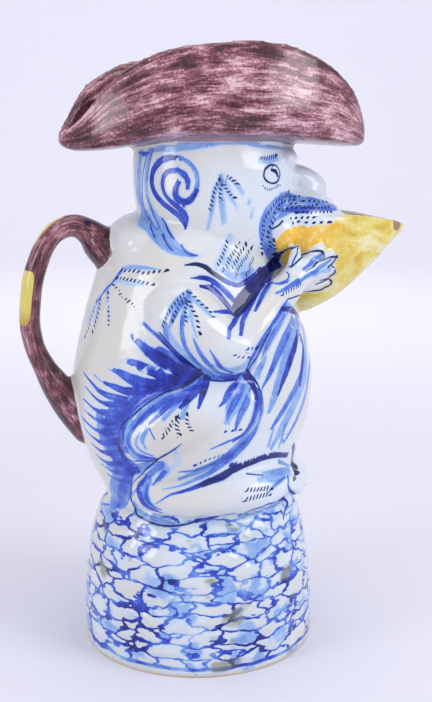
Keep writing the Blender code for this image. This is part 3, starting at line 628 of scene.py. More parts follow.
brushwork += [
    (0.42, 0, (5, 6.6, 6.6, 5.8, 5, 3.4), [(-99.8, 131), (-105.2, 128.5), (-111, 125.9), (-117.9, 121.9),
        (-123.6, 117.3), (-126.8, 113.4)]),
    (0.4, 0, (3.8, 5.1, 5.1, 4.2, 2.1), [(-129, 113.7), (-129.8, 107.9), (-128.2, 103.1), (-124.1, 100.3),
        (-118.7, 99.7)]),
    (0.34, 0, (5.9, 7.5, 6.7, 2.9), [(-76.2, 131.1), (-79.9, 126.5), (-83.2, 121.5), (-85.6, 116.2)]),
    (0.4, 0, (3.4, 5, 5.5, 5.5, 5.5, 4.7, 2.1), [(-69.9, 126.4), (-71.2, 119.2), (-73.1, 110.9),
        (-78.4, 103.2), (-87, 98.3), (-97, 93.4), (-106.7, 90.2)]),
    (0.3, 0, (3, 3.8, 3.4, 2.1), [(-120.9, 95.6), (-116.1, 96.9), (-113.4, 94.4), (-116.6, 90.4)]),
    (1.15, 0, (1.2, 1.2, 0.8, 0.8, 0.7, 0.7, 0.7, 0.7, 0.8, 0.7, 0.4), [(-98.8, 134.2), (-103.6, 131.3),
        (-109, 129), (-114.6, 127.2), (-120, 124.1), (-126.4, 119), (-132.2, 114.2), (-136, 109.6),
        (-138.8, 103.8), (-138.9, 98.6), (-135.9, 95.8)]),
    (1, 0, (0.4, 0.6, 0.7, 0.7, 0.8, 0.3), [(-135.9, 95.8), (-125.1, 98.2), (-119.8, 98.6), (-114.4, 100.7),
        (-109.8, 103.9), (-106.3, 106.8)]),
    (1.1, 0, (0.7, 0.6, 0.7, 0.6, 0.4), [(-135.8, 82.9), (-129, 88.7), (-120.9, 95.6), (-114.8, 100.7),
        (-111.6, 102.8)]),
    (0.88, 0, (3.3, 2.9, 1.2), [(-94.9, 132.4), (-96.6, 128.1), (-98.5, 123.1)]),
    (0.8, 0, (3.7, 3.7, 1.6), [(-97.4, 131), (-101.9, 126.8), (-105.5, 123.2)]),
    (0.64, 0, (4.1, 3.7, 2.9, 1.2), [(-101.1, 129.6), (-106.3, 126.4), (-111.9, 122.5), (-118.7, 115.7)]),
    (0.58, 0, (3.3, 3.3, 3.3, 2.9, 1.7), [(-104.2, 128.2), (-112.8, 125), (-119, 120.7), (-123.2, 116.2),
        (-125.7, 113.1)]),
    (0.38, 0, 2.1, [(-103.5, 124.6), (-105, 119.7)]),
    (0.38, 0, 2.1, [(-107.7, 123.5), (-112.3, 118.7)]),
    (0.52, 0, (1.7, 2.1, 2.1, 1.7, 1.3), [(-126.2, 112.7), (-128.2, 108.3), (-127.1, 104.1),
        (-123.5, 100.9), (-118.5, 100.3)]),
    (0.42, 0, (0.8, 1.3, 1.3, 0.8), [(-123.4, 110.7), (-124.6, 106.7), (-122.6, 103.4), (-118.7, 101.7)]),
    (0.45, 0, (1.7, 2.1, 0.8), [(-120.2, 112.3), (-121.9, 108.3), (-120.7, 105.4)]),
    (0.8, 0, 0.5, [(-118.4, 112.9), (-116.7, 109.6)]),
    (1.2, 1.7, 1.6, [(-108.2, 118.1), (-109.7, 115.6), (-110.9, 113), (-112.9, 110.8)]),
    (1.2, 1.7, 1.5, [(-106.4, 119.3), (-107.3, 116.1), (-107.3, 114.1), (-106.5, 111.8)]),
    (1.2, 1.7, 1.3, [(-103.4, 119.3), (-103.1, 116.1), (-102.1, 114.3), (-101.2, 112.5)]),
    (0.62, 0, (2.1, 2.9, 2.1, 0.8), [(-80.2, 130.6), (-84.1, 127.6), (-86.8, 124.3), (-88.8, 122.8)]),
    (0.52, 0, (1.7, 3.3, 2.9, 1.2), [(-77, 128.9), (-81, 125), (-84.2, 120.3), (-85.6, 117)]),
    (0.52, 0, (1.3, 2.9, 2.9, 1.3), [(-74.1, 127.6), (-77.2, 122.4), (-80.1, 117.1), (-81.7, 112.3)]),
    (0.68, 0, (2.1, 2.5, 2.1, 2.5, 2.5, 1.3), [(-72.8, 132.9), (-70.9, 128), (-71.5, 122.6), (-72.9, 115.8),
        (-75.8, 109.5), (-81.5, 106.6)]),
    (1.1, 0, (0.8, 1.1, 0.8, 0.6, 0.4), [(-76.8, 136.9), (-71.2, 132.4), (-67.8, 127.9), (-67.4, 122.7),
        (-67.1, 117.4)]),
    (0.95, 0, (2.9, 2.9, 1.7), [(-74.4, 133), (-71.8, 129.6), (-71.6, 125)]),
    ((0.64, 0.42), 0, (2.1, 2.5, 2.6, 3, 3.4, 3, 2.1, 1.3, 0.4), [(-68.4, 126.1), (-69.2, 119.7),
        (-67.8, 111.6), (-72.2, 105.2), (-78.6, 99.9), (-86.6, 95.2), (-95.4, 90.5), (-105.4, 87.1),
        (-114.5, 85.4)]),
    (0.6, 0, (0.4, 0.8, 1.3), [(-93.2, 103.9), (-86.7, 106.1), (-80.1, 107.8)]),
    (0.52, 0, (0.6, 2.1, 3.4, 3.4, 2.1), [(-107.2, 93.5), (-99.9, 94), (-92.1, 96), (-84.6, 98.2),
        (-77.2, 102.6)]),
    (1, 2.1, 1.1, [(-99.9, 96.7), (-94.9, 98.8), (-90.5, 99.7), (-85.7, 100.2)]),
    (1, 3.2, 0.9, [(-88.3, 111.1), (-84.1, 111.2), (-79.7, 111.2)]),
]

# Shin and foot.

brushwork += [
    ((0.6, 1), 0, (0.4, 0.9, 1.3, 1.9, 2.6), [(-118, 79.4), (-112, 83.1), (-106.6, 84.5), (-100.5, 85.9),
        (-93.8, 87.4)]),
    (1.06, 0, (2.1, 3.4, 3.4, 3.2, 3, 2.8, 2.6, 2.2), [(-95.9, 86.8), (-87.3, 89.1), (-80.9, 91.8),
        (-74.6, 93.5), (-67.9, 94.5), (-60.7, 95.2), (-51.9, 94.6), (-39.9, 92.2)]),
    (1.15, 0, (2.3, 5.5, 4.6, 2.2), [(-33, 94.9), (-25.3, 88.3), (-25.6, 83.7), (-42.9, 83)]),
    (0.4, 0, (4.3, 5.6, 5.2, 2.6), [(-123, 89.5), (-124.3, 84.7), (-123.1, 79), (-119.1, 74)]),
    (0.3, 0, (2.6, 5.3, 4), [(-66.8, 87), (-57.5, 87.1), (-47.9, 86.8)]),
    (0.62, 0, (1.7, 3, 2.6, 2.2, 0.9), [(-124.4, 89.6), (-126.3, 85.6), (-125.3, 81.1), (-122.8, 76.9),
        (-117.8, 74.3)]),
    (0.52, 0, (2.5, 2.6, 1.7), [(-115.7, 95.6), (-121.6, 91.6), (-125.8, 87.1)]),
    (0.42, 0, (1.3, 2.2, 2.2, 2.2, 1.3), [(-128.4, 83.9), (-139.6, 72.2), (-134.1, 69.1), (-124, 68),
        (-113.7, 67.2)]),
    (0.5, 0, (1.7, 1.7, 1.7, 0.9), [(-122.7, 86), (-122.4, 81.4), (-120.1, 77.7), (-117.6, 76.3)]),
    (0.5, 0, (2.1, 1.3), [(-114.9, 92.9), (-119.4, 87.7)]),
    (0.16, 0, (2.1, 2.9, 1.7), [(-108.7, 103.3), (-107.8, 99.2), (-110.7, 95.4)]),
    (1.1, 0, 0.8, [(-135.8, 82.9), (-140.7, 75.6), (-139.5, 69.2), (-132.2, 67.5), (-123.3, 66.2),
        (-114.5, 66.1), (-106.3, 67.1), (-99.1, 68.7)]),
    (0.85, 0, (1.5, 1.8, 1.7, 1.3), [(-99.1, 68.7), (-91, 69.7), (-84.2, 71.9), (-80.7, 72.4)]),
    (1, 0, (0.7, 0.8, 0.9, 1.1, 0.9), [(-73.9, 70.4), (-72.8, 73.7), (-66.8, 74.9), (-60.1, 75.3),
        (-35.7, 69.6)]),
    (0.4, 0, (1.3, 2.2, 2.3, 1.8), [(-73.6, 69.3), (-62.7, 69.4), (-48.3, 69.9), (-33.2, 69.9)]),
    (1.2, 1.6, 1.7, [(-76, 84.1), (-71.1, 83.8), (-67.5, 83.6), (-63.4, 83.3)]),
    (1.2, 1.6, 1.7, [(-76.7, 79.9), (-73, 80.4), (-69.5, 80.7), (-64.4, 80.9)]),
    (0.42, 0, (1.3, 1.7, 0.9), [(-53.2, 85.4), (-59.3, 84.2), (-63.7, 82.1)]),
    (0.85, 0, (0.9, 1.3, 1.6, 0.9, 0.7), [(-49.4, 84.6), (-48.6, 79.9), (-32.3, 68.8), (-38.7, 65),
        (-43.5, 63.4)]),
    (0.32, 0, (1.7, 3.5, 2.2), [(-62.9, 88.9), (-56.3, 88.4), (-47.4, 87.9)]),
    (0.8, 0, 0.7, [(-71.6, 89.4), (-65.9, 88.6)]),
    (0.45, 0, 2.2, [(-48.2, 90.7), (-44.8, 89.3)]),
]


# Head and face
#
# A second pot, turned upside down on the shoulders, with lumps of clay added and smoothed over
# for the muzzle, the fur of the cheeks, the nose, the brow and the nape.

HEAD = [
    (164, -12, 24, 26), (172, -17, 30, 31), (180, -20.5, 34, 32.5), (188, -23, 38, 33),
    (197, -26, 41.5, 33.5), (206, -28, 43.5, 33.5), (216, -28.5, 44, 33), (225, -28, 41, 32),
    (233, -27, 38.5, 31),
]
FACE = {
    "muzzle": ((44, 0, 197.8), (22.5, 24, 12.4), -12),
    "cheek_fur": ((32, 0, 191), (16, 28.5, 15), -50),
    "nose": ((50, 0, 209.2), (9.6, 9.8, 6.8), -8),
    "under_nose": ((46, 0, 203), (9, 12, 6), -8),
    "nape": ((-28, 0, 187), (13.5, 26, 11), 24),
    "bridge": ((47, 0, 213), (12.5, 9, 5.8), -18),
    "brow": ((37, 0, 222), (7, 22, 7), 0),
}


def lump(name, centre, radii, tilt):
    """An ellipsoid of clay. The tilt turns it about Y, nose up."""
    bm = bmesh.new()
    shape = (
        Matrix.Translation(Vector(centre) * MM)
        @ Matrix.Rotation(-math.radians(tilt), 4, "Y")
        @ Matrix.Diagonal((*(r * MM for r in radii), 1))
    )
    bmesh.ops.create_uvsphere(bm, u_segments=48, v_segments=32, radius=1, matrix=shape)
    return piece_of_clay(name, bm)


clay["head"] = [skin_rings("head", upright_rings(HEAD))]
clay["head"] += [lump(name, *shape) for name, shape in FACE.items()]

# Ear and hair.

brushwork += [
    (0.72, 0, (2.2, 2.8, 3, 3, 2.7, 2), [(-114.3, 212.2), (-116.5, 209.7), (-115.2, 206.4), (-109.3, 204.8),
        (-103.6, 205.9), (-100.1, 209)]),
    (0.5, 0, (2, 1.7, 1.7, 1.8, 2, 2.2), [(-100.1, 209), (-98.2, 213.1), (-100.1, 217.7), (-105.2, 221.1),
        (-112.7, 222.9), (-119.8, 223.1)]),
    (0.78, 0, (1.5, 2.7, 2.9, 2.8, 2.5, 2.5, 2.5, 2.4, 2.3, 1.5), [(-116.2, 223.1), (-123.6, 222.9),
        (-131.6, 221.4), (-138.7, 217.7), (-141.1, 212.7), (-137.3, 208.1), (-129.7, 204.4), (-121, 201.6),
        (-113.8, 198.8), (-109.2, 195.5)]),
    (0.72, 0, (1.7, 2.4, 2.5, 2.4, 2.3, 1.8, 1.7, 1.6, 2.2, 2.7, 2.9, 1), [(-106, 211.4), (-106, 213.9),
        (-110.1, 216.8), (-117.8, 217.8), (-125.3, 216.6), (-128.7, 212.9), (-127.3, 209.1), (-123, 206),
        (-117, 203.6), (-111.9, 201.4), (-108.2, 198.1), (-108.2, 194.3)]),
    (0.36, 0, (1.7, 3.8, 3.8, 3.4, 2.5, 2.1, 1.7, 0.9), [(-143.7, 226), (-126.7, 227.2), (-108.6, 227.7),
        (-92.7, 228.7), (-77.6, 229.5), (-62.6, 229.3), (-49, 227.8), (-28.1, 226.7)]),
    (0.38, 0, (3.9, 4.8, 5.3, 5.7, 5.1, 3.8, 2.1, 0.6), [(-157.6, 225.1), (-161, 215.3), (-163.3, 206.6),
        (-154.6, 198.2), (-129.9, 190.8), (-114.9, 185.3), (-103.4, 183.4), (-97.9, 183)]),
    (0.34, 0, (2.6, 2.2, 2.2, 3, 3.9, 3.8, 2.5, 1.3), [(-142.4, 225.2), (-147.2, 219.7), (-148.8, 211.2),
        (-145.7, 204.1), (-138.6, 197.8), (-122.8, 192.2), (-111.4, 186.5), (-103.4, 183.8)]),
    (0.55, 0, 0.7, [(-147.7, 223.9), (-152.3, 217.5), (-156, 209), (-156.1, 203.8)]),
    (0.55, 0, 0.7, [(-139.9, 226.1), (-143.8, 219.8), (-147, 213.4)]),
    (0.6, 0, (0.9, 2.2, 0.9), [(-161.4, 224.6), (-152.3, 224.3), (-144.9, 224.8)]),
    (0.75, 0, (0.7, 0.9, 0.7, 0.4), [(-148.4, 206.1), (-144.2, 202.4), (-140, 197.8), (-129.3, 193.2)]),
    (0.85, 0, 0.6, [(-141.6, 194.8), (-129.9, 190.1)]),
    (0.85, 0, 0.7, [(-129.6, 196.8), (-121.9, 192.9), (-116, 190)]),
    (0.85, 0, 0.7, [(-124.2, 191), (-119.2, 187.6), (-115.6, 185.7)]),
    (0.62, 0, (0.8, 1.1, 1.3, 0.4), [(-108.8, 186.9), (-106.6, 185), (-102.8, 183.6), (-97.9, 183.2)]),
    (0.5, 0, 1, [(-161.5, 204.5), (-153.7, 198.7), (-134.6, 193.4)]),
    (0.48, 0, 0.8, [(-168.1, 219.4), (-170.9, 210.8), (-168.8, 203)]),
]

# Cheek and eye.

brushwork += [
    (0.3, 0, (1.3, 1.9, 1.7, 1.7, 1.3), [(-81.4, 214.8), (-85.8, 209.9), (-87.3, 204.9), (-88.7, 199.5),
        (-90.9, 194.4)]),
    (0.28, 0, (1.7, 2.5, 2.5, 2.3), [(-81.5, 214), (-81.6, 207.8), (-80.6, 202.4), (-79.6, 197.4)]),
    (0.22, 0, (1.7, 2.5, 2.1, 1.7), [(-80.7, 214.8), (-76.8, 209.8), (-73.3, 204.8), (-70.5, 201.4)]),
    (0.22, 0, 1.7, [(-80.7, 215.6), (-75.8, 214.8), (-71.1, 212.3), (-67.7, 209.3)]),
    (1.2, 1.8, 1.1, [(-81.4, 215.2), (-85.1, 211.5), (-87.3, 207.4), (-88.7, 203.2), (-90.2, 200.7)]),
    (1.2, 1.8, 1.1, [(-80.8, 213.1), (-82.3, 209.8), (-82, 205.7), (-81.7, 201.5)]),
    (1.2, 1.7, 1.1, [(-80.1, 213.1), (-77.5, 209.8), (-74.7, 207.7), (-71.9, 206.5)]),
    (1.2, 1.7, 1.3, [(-80.7, 215.4), (-75.1, 214.8), (-71.7, 213.1), (-69.7, 211.8)]),
    (0.25, 0, 1, [(-64.3, 203), (-62.1, 204.7)]),
    (0.22, 0, 1, [(-60, 198.7), (-59.4, 200.8)]),
    (1.2, 0, (0.6, 0.7, 0.6, 0.7, 0.7, 0.6, 0.8, 0.9, 0.7, 0.5, 0.4, 0.4, 0.5), [(-37.9, 213.8),
        (-40.8, 212.4), (-44.3, 212.1), (-48.5, 213), (-50.5, 214.1), (-50.8, 215.7), (-49.7, 217.8),
        (-46.9, 219.2), (-43.2, 219.9), (-39.7, 219.5), (-37.6, 218), (-36.8, 215.9), (-37.9, 214.2)]),
    (1.2, 0, (1.3, 1.9, 1.1), [(-42.7, 217.5), (-40.6, 217), (-39.7, 215.9)]),
    (0.3, 0, 3, [(-50.9, 222), (-45.9, 221.9), (-38.1, 222.6)]),
    (1.1, 1.4, 1.7, [(-50.3, 222.6), (-44.7, 222.7), (-37.7, 223.5)]),
    (1, 1.3, 1, [(-51.3, 210.7), (-47.9, 209.6), (-43.5, 209.9), (-38, 211.2)]),
]

# Moustache, beard and the shadow under the chin. Points of the strokes that lie behind the
# forearm are given as places along X instead of turns.

brushwork += [
    (0.6, 0, (0.7, 2.2, 2.2, 2.6, 2.2, 0.9), [(-11.6, 199.5), (-20.3, 200.4), (-25.8, 200.5),
        (-29.4, 200.4), (-31, 200.6), (-34.7, 200)]),
    (0.3, 0, 3.1, [(-34.9, 206.5), (-25.9, 206.6), (-25.3, 204.9)]),
    (1.3, 2.1, 1.3, [(-26.4, 207.9), (-33, 205.8), (-38.7, 204.7), (-43.2, 202.8), (-45.5, 200.9),
        (-47.5, 199.2), (-49.4, 197.2), (-50.3, 194.6), (-48.8, 192.8), (-49.3, 190.3), (-49.4, 186.4),
        (-46.6, 182.3)]),
    (1.3, 2.3, 1.1, [(-22.5, 206.2), (-25.8, 205.7), (-30.7, 206.5)]),
    (1.3, 2.6, 1.1, [(-25.5, 204.1), (-22.3, 203.9), (-19.6, 203.6), (-15, 203.1)]),
    (1.3, 2.3, 1.2, [(-26.5, 204.5), (-28.2, 204.5), (-34, 203.9), (-37.9, 202.3), (-41, 200.1),
        (-41.1, 198.1), (-43.1, 196.1), (-45.5, 191.6), (-43.5, 186.8), (-40.7, 183.8)]),
    (1.3, 2.1, 1.1, [(-22.6, 202.4), (-27.9, 201.6), (-28.6, 203.1), (-30.4, 202.7)]),
    (1.3, 2.1, 1.1, [(-17.8, 201.3), (-22.7, 201), (-26.5, 201.1), (-29, 201.4), (-30, 201.6),
        (-32.2, 200.8), (-36.1, 200.7)]),
    (1.3, 2.1, 1.1, [(-18.8, 199.2), (-23, 199.3), (-25.2, 199.4), (-27.4, 199.2), (-29.1, 199.5),
        (-30.2, 199.3)]),
    (1.2, 2.6, 0.9, [(-26.4, 197.1), (-28.9, 197.1), (-30.4, 196.9), (-34.5, 196.9)]),
    (1.1, 3.4, 0.9, [(-23.8, 195), (-26.1, 194.9), (-28.3, 194.8), (-30, 195.4), (-36.4, 194.4)]),
    (1.2, 0, 0.6, [(-43.7, 193.1), (-42.3, 194), (-39.8, 195.6)]),
    (0.2, 0, 2.5, [(-75.1, 189.7), (-81, 184.2), (-87.9, 178.1)]),
    (1.2, 2, 1.3, [(-76.5, 188.9), (-78.2, 186.5), (-81.1, 184), (-83.1, 182.3), (-85.5, 180.4),
        (-87.2, 178.5)]),
    (1.2, 1.9, 1.4, [(-69.2, 187.1), (-71.8, 184.3), (-77.4, 181.7), (-78.7, 180.1), (-80.5, 178.6),
        (-83.6, 177.2)]),
    (1.2, 1.9, 1.4, [(-62.4, 187.7), (-64, 185.2), (-69, 182.9), (-72.2, 180.6), (-75.3, 179),
        (-78.2, 177.3)]),
    (1.2, 1.7, 1.4, [(-57.3, 185), (-59.4, 184), (-62.8, 181.4), (-67.5, 180), (-70, 178.5), (-72.5, 177.4),
        (-75.1, 175.2)]),
    (1.2, 1.6, 1.3, [(-55.3, 180.8), (-58.1, 179.5), (-61.8, 178.1), (-63.3, 176.5), (-66.6, 174.7)]),
    (0.4, 0, (2.5, 3.8, 3.8, 2.1), [(-83.1, 176.7), (-76.8, 174), (-68.6, 174), (-61.2, 176)]),
    (0.2, 0, 5.5, [(-80.8, 180.2), (-74, 178.3), (-64, 179.4)]),
    (1.15, 0, (0.6, 1.5, 2.1, 2.1, 1.9), [(-104.9, 179.6), (-99.7, 179.9), (-94.5, 178.7), (-90, 176.2),
        (-85.9, 174.2)]),
    (0.88, 0, (1.7, 2.1, 2.1, 2.1, 2.5, 2.6), [(-87.1, 174.7), (-83.6, 173.1), (-78.7, 171.3),
        (-73.3, 170.8), (-65, 172.5), (-52.8, 175.4)]),
    (0.78, 0, (2.5, 2.1, 2, 1.6), [(-71.9, 162.2), (-79.1, 157.7), (-84.8, 155), (-85.8, 152.1)]),
    (0.8, 0, (0.6, 1.7, 2.1, 2.3, 2.5, 2.1), [(-101.3, 174.4), (-96.9, 174.5), (-91.9, 173.6), (-86.8, 171),
        (-82.4, 167.8), (-77.4, 163.5)]),
    (0.95, 0, (1.7, 2.5, 2.5, 2.3, 2.1), [(-96, 171), (-92.1, 170.2), (-88.3, 168.1), (-84.5, 164.7),
        (-80.3, 160.4)]),
    (0.75, 0, (1, 2.1, 2.1), [(-90.6, 161.5), (-86.2, 161), (-79.8, 159.6)]),
]
across_strokes = [
    (0.46, 0, (1.8, 6.2, 7.5, 9.2, 10, 8.6, 7.3, 6.5, 5.7, 4.4), [(61, 200.6), (51.6, 203), (44.2, 203.6),
        (38.5, 203.7), (32.4, 202.2), (27.7, 199.1), (25.3, 195), (25.2, 189.7), (27.2, 184.2),
        (31.2, 179.2)]),
    (1.3, 2.1, 1.3, [(29.2, 187.5), (29.8, 185.2), (30.9, 182.8)]),
    (1.08, 0, (1.8, 4, 5.6, 6.4, 6.7, 4.6), [(33.5, 181.7), (30.7, 176.4), (23.3, 172.9), (17.5, 168.4),
        (12.3, 163.7), (9.3, 159.5)]),
    (0.75, 0, (2.7, 3, 2.5, 1.2), [(32.9, 175.4), (25.6, 170.6), (20.7, 166.1), (17.1, 161.5)]),
    (0.72, 0, (2.1, 2.5, 2.5, 1.6), [(22.6, 169.5), (16.4, 163.7), (11.8, 158.1), (9.5, 152.8)]),
    (1.15, 0, (2.2, 1.3, 0.5), [(31.4, 181.3), (34.9, 182.9), (38.9, 185.2)]),
    (1.2, 0, (0.4, 0.6, 0.7, 0.7, 1.1, 1, 0.7, 0.4), [(36.5, 177), (40.2, 179.8), (44, 181.4),
        (46.3, 182.6), (49.8, 182.8), (51.6, 181.8), (51.8, 180.1), (49.8, 178.9)]),
]


# Shell spout
#
# The half shell that the monkey drinks from is the pouring lip: a thin bowl of clay that ends in
# a point, open on top, with a hole through the wall of the head behind the mouth.

SHELL = [
    (26, 189, 168, 13), (32, 192.5, 160.5, 19), (40, 195, 155, 23), (48, 196.3, 152.3, 24.5),
    (57, 197.4, 155.4, 23.5), (66, 197.4, 160.6, 20.5), (77, 196.4, 170, 15), (87, 194.6, 179.8, 9.5),
    (92.5, 193.4, 185.4, 6), (96.5, 192.2, 189, 3.2),
]
SPOUT_WALL = 3.6
SPOUT_FLOOR = 4.8
LIP_DEPTH = 2.2
RIM_ROUND = 1.5
RIM_CLEARANCE = 10
PASSAGE_RADIUS = 7.5
PASSAGE_START = 22
PASSAGE_FLOOR = 183
PASSAGE_TOP = 194.5
BOWL_START = 46
BOWL_FULL = 54
MUZZLE_END = 66


def shell_sizes(x):
    """Top, keel and half width of the shell at a station."""
    return [float(value[0]) for value in section_curves(SHELL, [x], 1, 2, 3)]


def bowl_ring(x, half, top, floor, roof):
    """A half-round section, round below the rim and straight above it up to the roof."""
    ring = []
    for a in np.linspace(0, math.pi, RING_POINTS // 2):
        out = math.copysign(abs(math.cos(a)) ** 0.85, math.cos(a))
        ring.append((x, -half * out, top - (top - floor) * math.sin(a) ** 0.95))
    return [*ring, (x, half, roof), (x, -half, roof)]


def shell_body():
    rings = []
    for x in np.linspace(SHELL[0][0], SHELL[-1][0], 50):
        top, keel, half = shell_sizes(x)
        rings.append(bowl_ring(x, half, top - RIM_ROUND, keel, top))
    return skin_rings("shell spout", rings)


def shell_bowl():
    """The inside of the shell. Behind, a passage pierces the wall; under the muzzle it is roofed."""
    rings = []
    lip = SHELL[-1][0]
    for x in np.linspace(PASSAGE_START, lip + 6, 90):
        top, keel, half = shell_sizes(min(max(x, BOWL_START), lip))
        bowl = min(1, max(0, (x - BOWL_START) / (BOWL_FULL - BOWL_START)))
        reach = PASSAGE_RADIUS + (max(half - SPOUT_WALL, LIP_DEPTH / 2) - PASSAGE_RADIUS) * bowl
        floor = PASSAGE_FLOOR + (min(keel + SPOUT_FLOOR, top - LIP_DEPTH) - PASSAGE_FLOOR) * bowl
        roof = top + RIM_CLEARANCE if x > MUZZLE_END else PASSAGE_TOP
        rings.append(bowl_ring(x, reach, min(top, PASSAGE_TOP), floor, roof))
    return skin_rings("shell bowl", rings)


clay["shell"] = [shell_body()]

# Antimony yellow, brushed on along the shell, orange where it is thick by the mouth. It ends above
# on a line that the brush drew beside the mouth, given by place along X and height.

YELLOW_TOP = [
    (25, 180), (28.5, 186), (30.5, 189.4), (33.5, 192.4), (37.5, 193.6), (43.5, 193.5), (50, 193.8),
    (57, 195.5), (62, 197.2),
]
YELLOW_PULL = 10.0
YELLOW = [(0.3, "#CCAA42"), (0.42, "#E0C656"), (0.52, "#E6D67E"), (0.64, "#ECE3AC")]
ORANGE, PALE_ORANGE = "#F3C13C", "#F8DE90"
ORANGE_END = (58, 80)
ORANGE_FOOT = (168, 184)
INSIDE_GREY = "#D6CFBC"
CHIP = (91, -5.5, 191.8)
CHIPPED_CLAY = "#A07F6C"

shell_glaze, tree, shader, place, white = white_glaze("antimony yellow glaze")
glazes["shell"] = (shell_glaze, tree, shader)
along = node(tree, "ShaderNodeSeparateXYZ", {0: place})
drift = node(tree, "ShaderNodeTexNoise", {"Vector": place, "Scale": 35.0, "Detail": 1.0})
drifted = {0: drift["Color"], 1: (35 * MM,) * 3, 2: place}
drifting = node(tree, "ShaderNodeVectorMath", drifted, operation="MULTIPLY_ADD")
swirl = cloudy(tree, drifting[0], 75.0, 3.0, (0.6, 1, 1.7))
speckle = cloudy(tree, place, 420.0, 2.0)
by_the_mouth = maths(tree, "MULTIPLY_ADD", swirl, 30 * MM, along["X"])
thick = soft_step(tree, by_the_mouth, ORANGE_END[1] * MM, ORANGE_END[0] * MM)
laid_on = maths(tree, "MULTIPLY_ADD", speckle, 0.25, maths(tree, "ADD", swirl, -0.125))
lemon = colour_ramp(tree, laid_on, YELLOW)
orange = over(tree, srgb(ORANGE), srgb(PALE_ORANGE), soft_step(tree, speckle, 0.52, 0.7))
upper = soft_step(tree, along["Z"], ORANGE_FOOT[0] * MM, ORANGE_FOOT[1] * MM)
yellow = over(tree, lemon, orange, maths(tree, "MULTIPLY", thick, upper))
depth = node(tree, "ShaderNodeAttribute", attribute_name="shell_depth")["Fac"]
hollow_side = maths(tree, "MULTIPLY", soft_step(tree, depth, 0.95, 0.88), 0.8)
yellow = over(tree, yellow, srgb(INSIDE_GREY), hollow_side)
glazed = over(tree, white, yellow, edge_of(tree, "on_shell", place))
rough_edge = maths(tree, "MULTIPLY", cloudy(tree, place, 400.0), 1.5 * MM)
chipped = spot_on(tree, place, CHIP, rough_edge, 4, 3.4)
tree.links.new(over(tree, glazed, srgb(CHIPPED_CLAY), chipped), shader.inputs["Base Color"])
tree.links.new(maths(tree, "MULTIPLY_ADD", chipped, 0.6, 0.1), shader.inputs["Roughness"])


# Cocked hat
#
# A slab of clay, cut to shape, laid on the head and turned up on both sides into two tall flaps
# that meet in a point before and behind. The crown is open and is the mouth of the jug. A section
# is its place, keel, right edge, left edge, half width and how far the flaps lean in.

HAT = [
    (-61, 229, 233, 233, 5, 0), (-57.5, 226.4, 235, 239, 10.5, 0.5), (-53, 225.4, 239, 247, 16, 1),
    (-47.5, 225.4, 245, 254, 22, 2), (-40, 225.8, 254.2, 259, 27.5, 3.5),
    (-30, 227.2, 261.4, 264, 33.5, 6), (-20, 229, 266.2, 266.2, 37.5, 8), (-7, 230, 269, 269, 40, 9),
    (5, 230, 270, 270, 41, 9), (18, 230, 270.6, 270.6, 41, 9), (31, 229.5, 269.8, 269.8, 39, 8),
    (42, 228.5, 267, 267, 35.5, 7), (52, 228, 262.6, 262.6, 30.5, 5), (60, 227.5, 257.5, 257.5, 25, 3.5),
    (66.5, 227, 251.5, 251.5, 19, 2), (71, 227, 245, 245, 13.5, 1),
    (74.4, 228, 238.5, 238.5, 8.5, 0.5), (76, 230, 234, 234, 4.5, 0),
]
HAT_SECTION = [(0, 0), (0.5, 0.01), (0.8, 0.05), (0.94, 0.15), (1.0, 0.34), (0.99, 0.7), (0.98, 1.0)]
BRIM_THICKNESS = 4.2
CROWN_PLACE = 8
CROWN_FOOT = 228
CROWN_TOP = 246
CROWN_RADIUS = 20.5
CROWN_FLARE = 1.12
MOUTH_RADIUS = 15.5


def hat_brim():
    fine = np.linspace(HAT[0][0], HAT[-1][0], 110)
    keel, right_edge, left_edge, half, lean = section_curves(HAT, fine, 1, 2, 3, 4, 5)
    steps = np.arange(len(HAT_SECTION))
    fine_steps = np.linspace(0, len(HAT_SECTION) - 1, 37)
    out, up = (smooth_curve(steps, [p[k] for p in HAT_SECTION], fine_steps) for k in (0, 1))
    rings = []
    for x, k, *edges, h, l in zip(fine, keel, right_edge, left_edge, half, lean):
        right, left = (
            [(x, side * (h * o - l * u * u), k + (e - k) * u) for o, u in zip(out, up)]
            for side, e in zip((-1, 1), edges)
        )
        rings.append(right[::-1] + left[1:])
    sheet = skin_rings("hat brim", rings, capped=False, closed_rings=False)
    middle = min(sheet.data.polygons, key=lambda face: face.center.xy.length)
    slab = sheet.modifiers.new("clay thickness", "SOLIDIFY")
    slab.thickness = BRIM_THICKNESS * MM
    slab.offset = -1 if middle.normal.z < 0 else 1
    return made_mesh(sheet)


def upright_cone(name, foot, top, foot_radius, top_radius):
    bm = bmesh.new()
    bmesh.ops.create_cone(
        bm,
        cap_ends=True,
        segments=RING_POINTS,
        radius1=foot_radius * MM,
        radius2=top_radius * MM,
        depth=(top - foot) * MM,
        matrix=Matrix.Translation(Vector((CROWN_PLACE, 0, (foot + top) / 2)) * MM),
    )
    return piece_of_clay(name, bm)


hat_crown = upright_cone("hat crown", CROWN_FOOT, CROWN_TOP, CROWN_RADIUS * CROWN_FLARE, CROWN_RADIUS)
clay["hat"] = [hat_brim(), hat_crown]

# It is brushed all over with manganese, which fires to a streaky purple.

MANGANESE = [(0.22, "#3E2229"), (0.42, "#6C3C47"), (0.55, "#95606C"), (0.68, "#C08F99"), (0.85, "#E2C3C9")]
PINHOLE = "#E8D8DA"


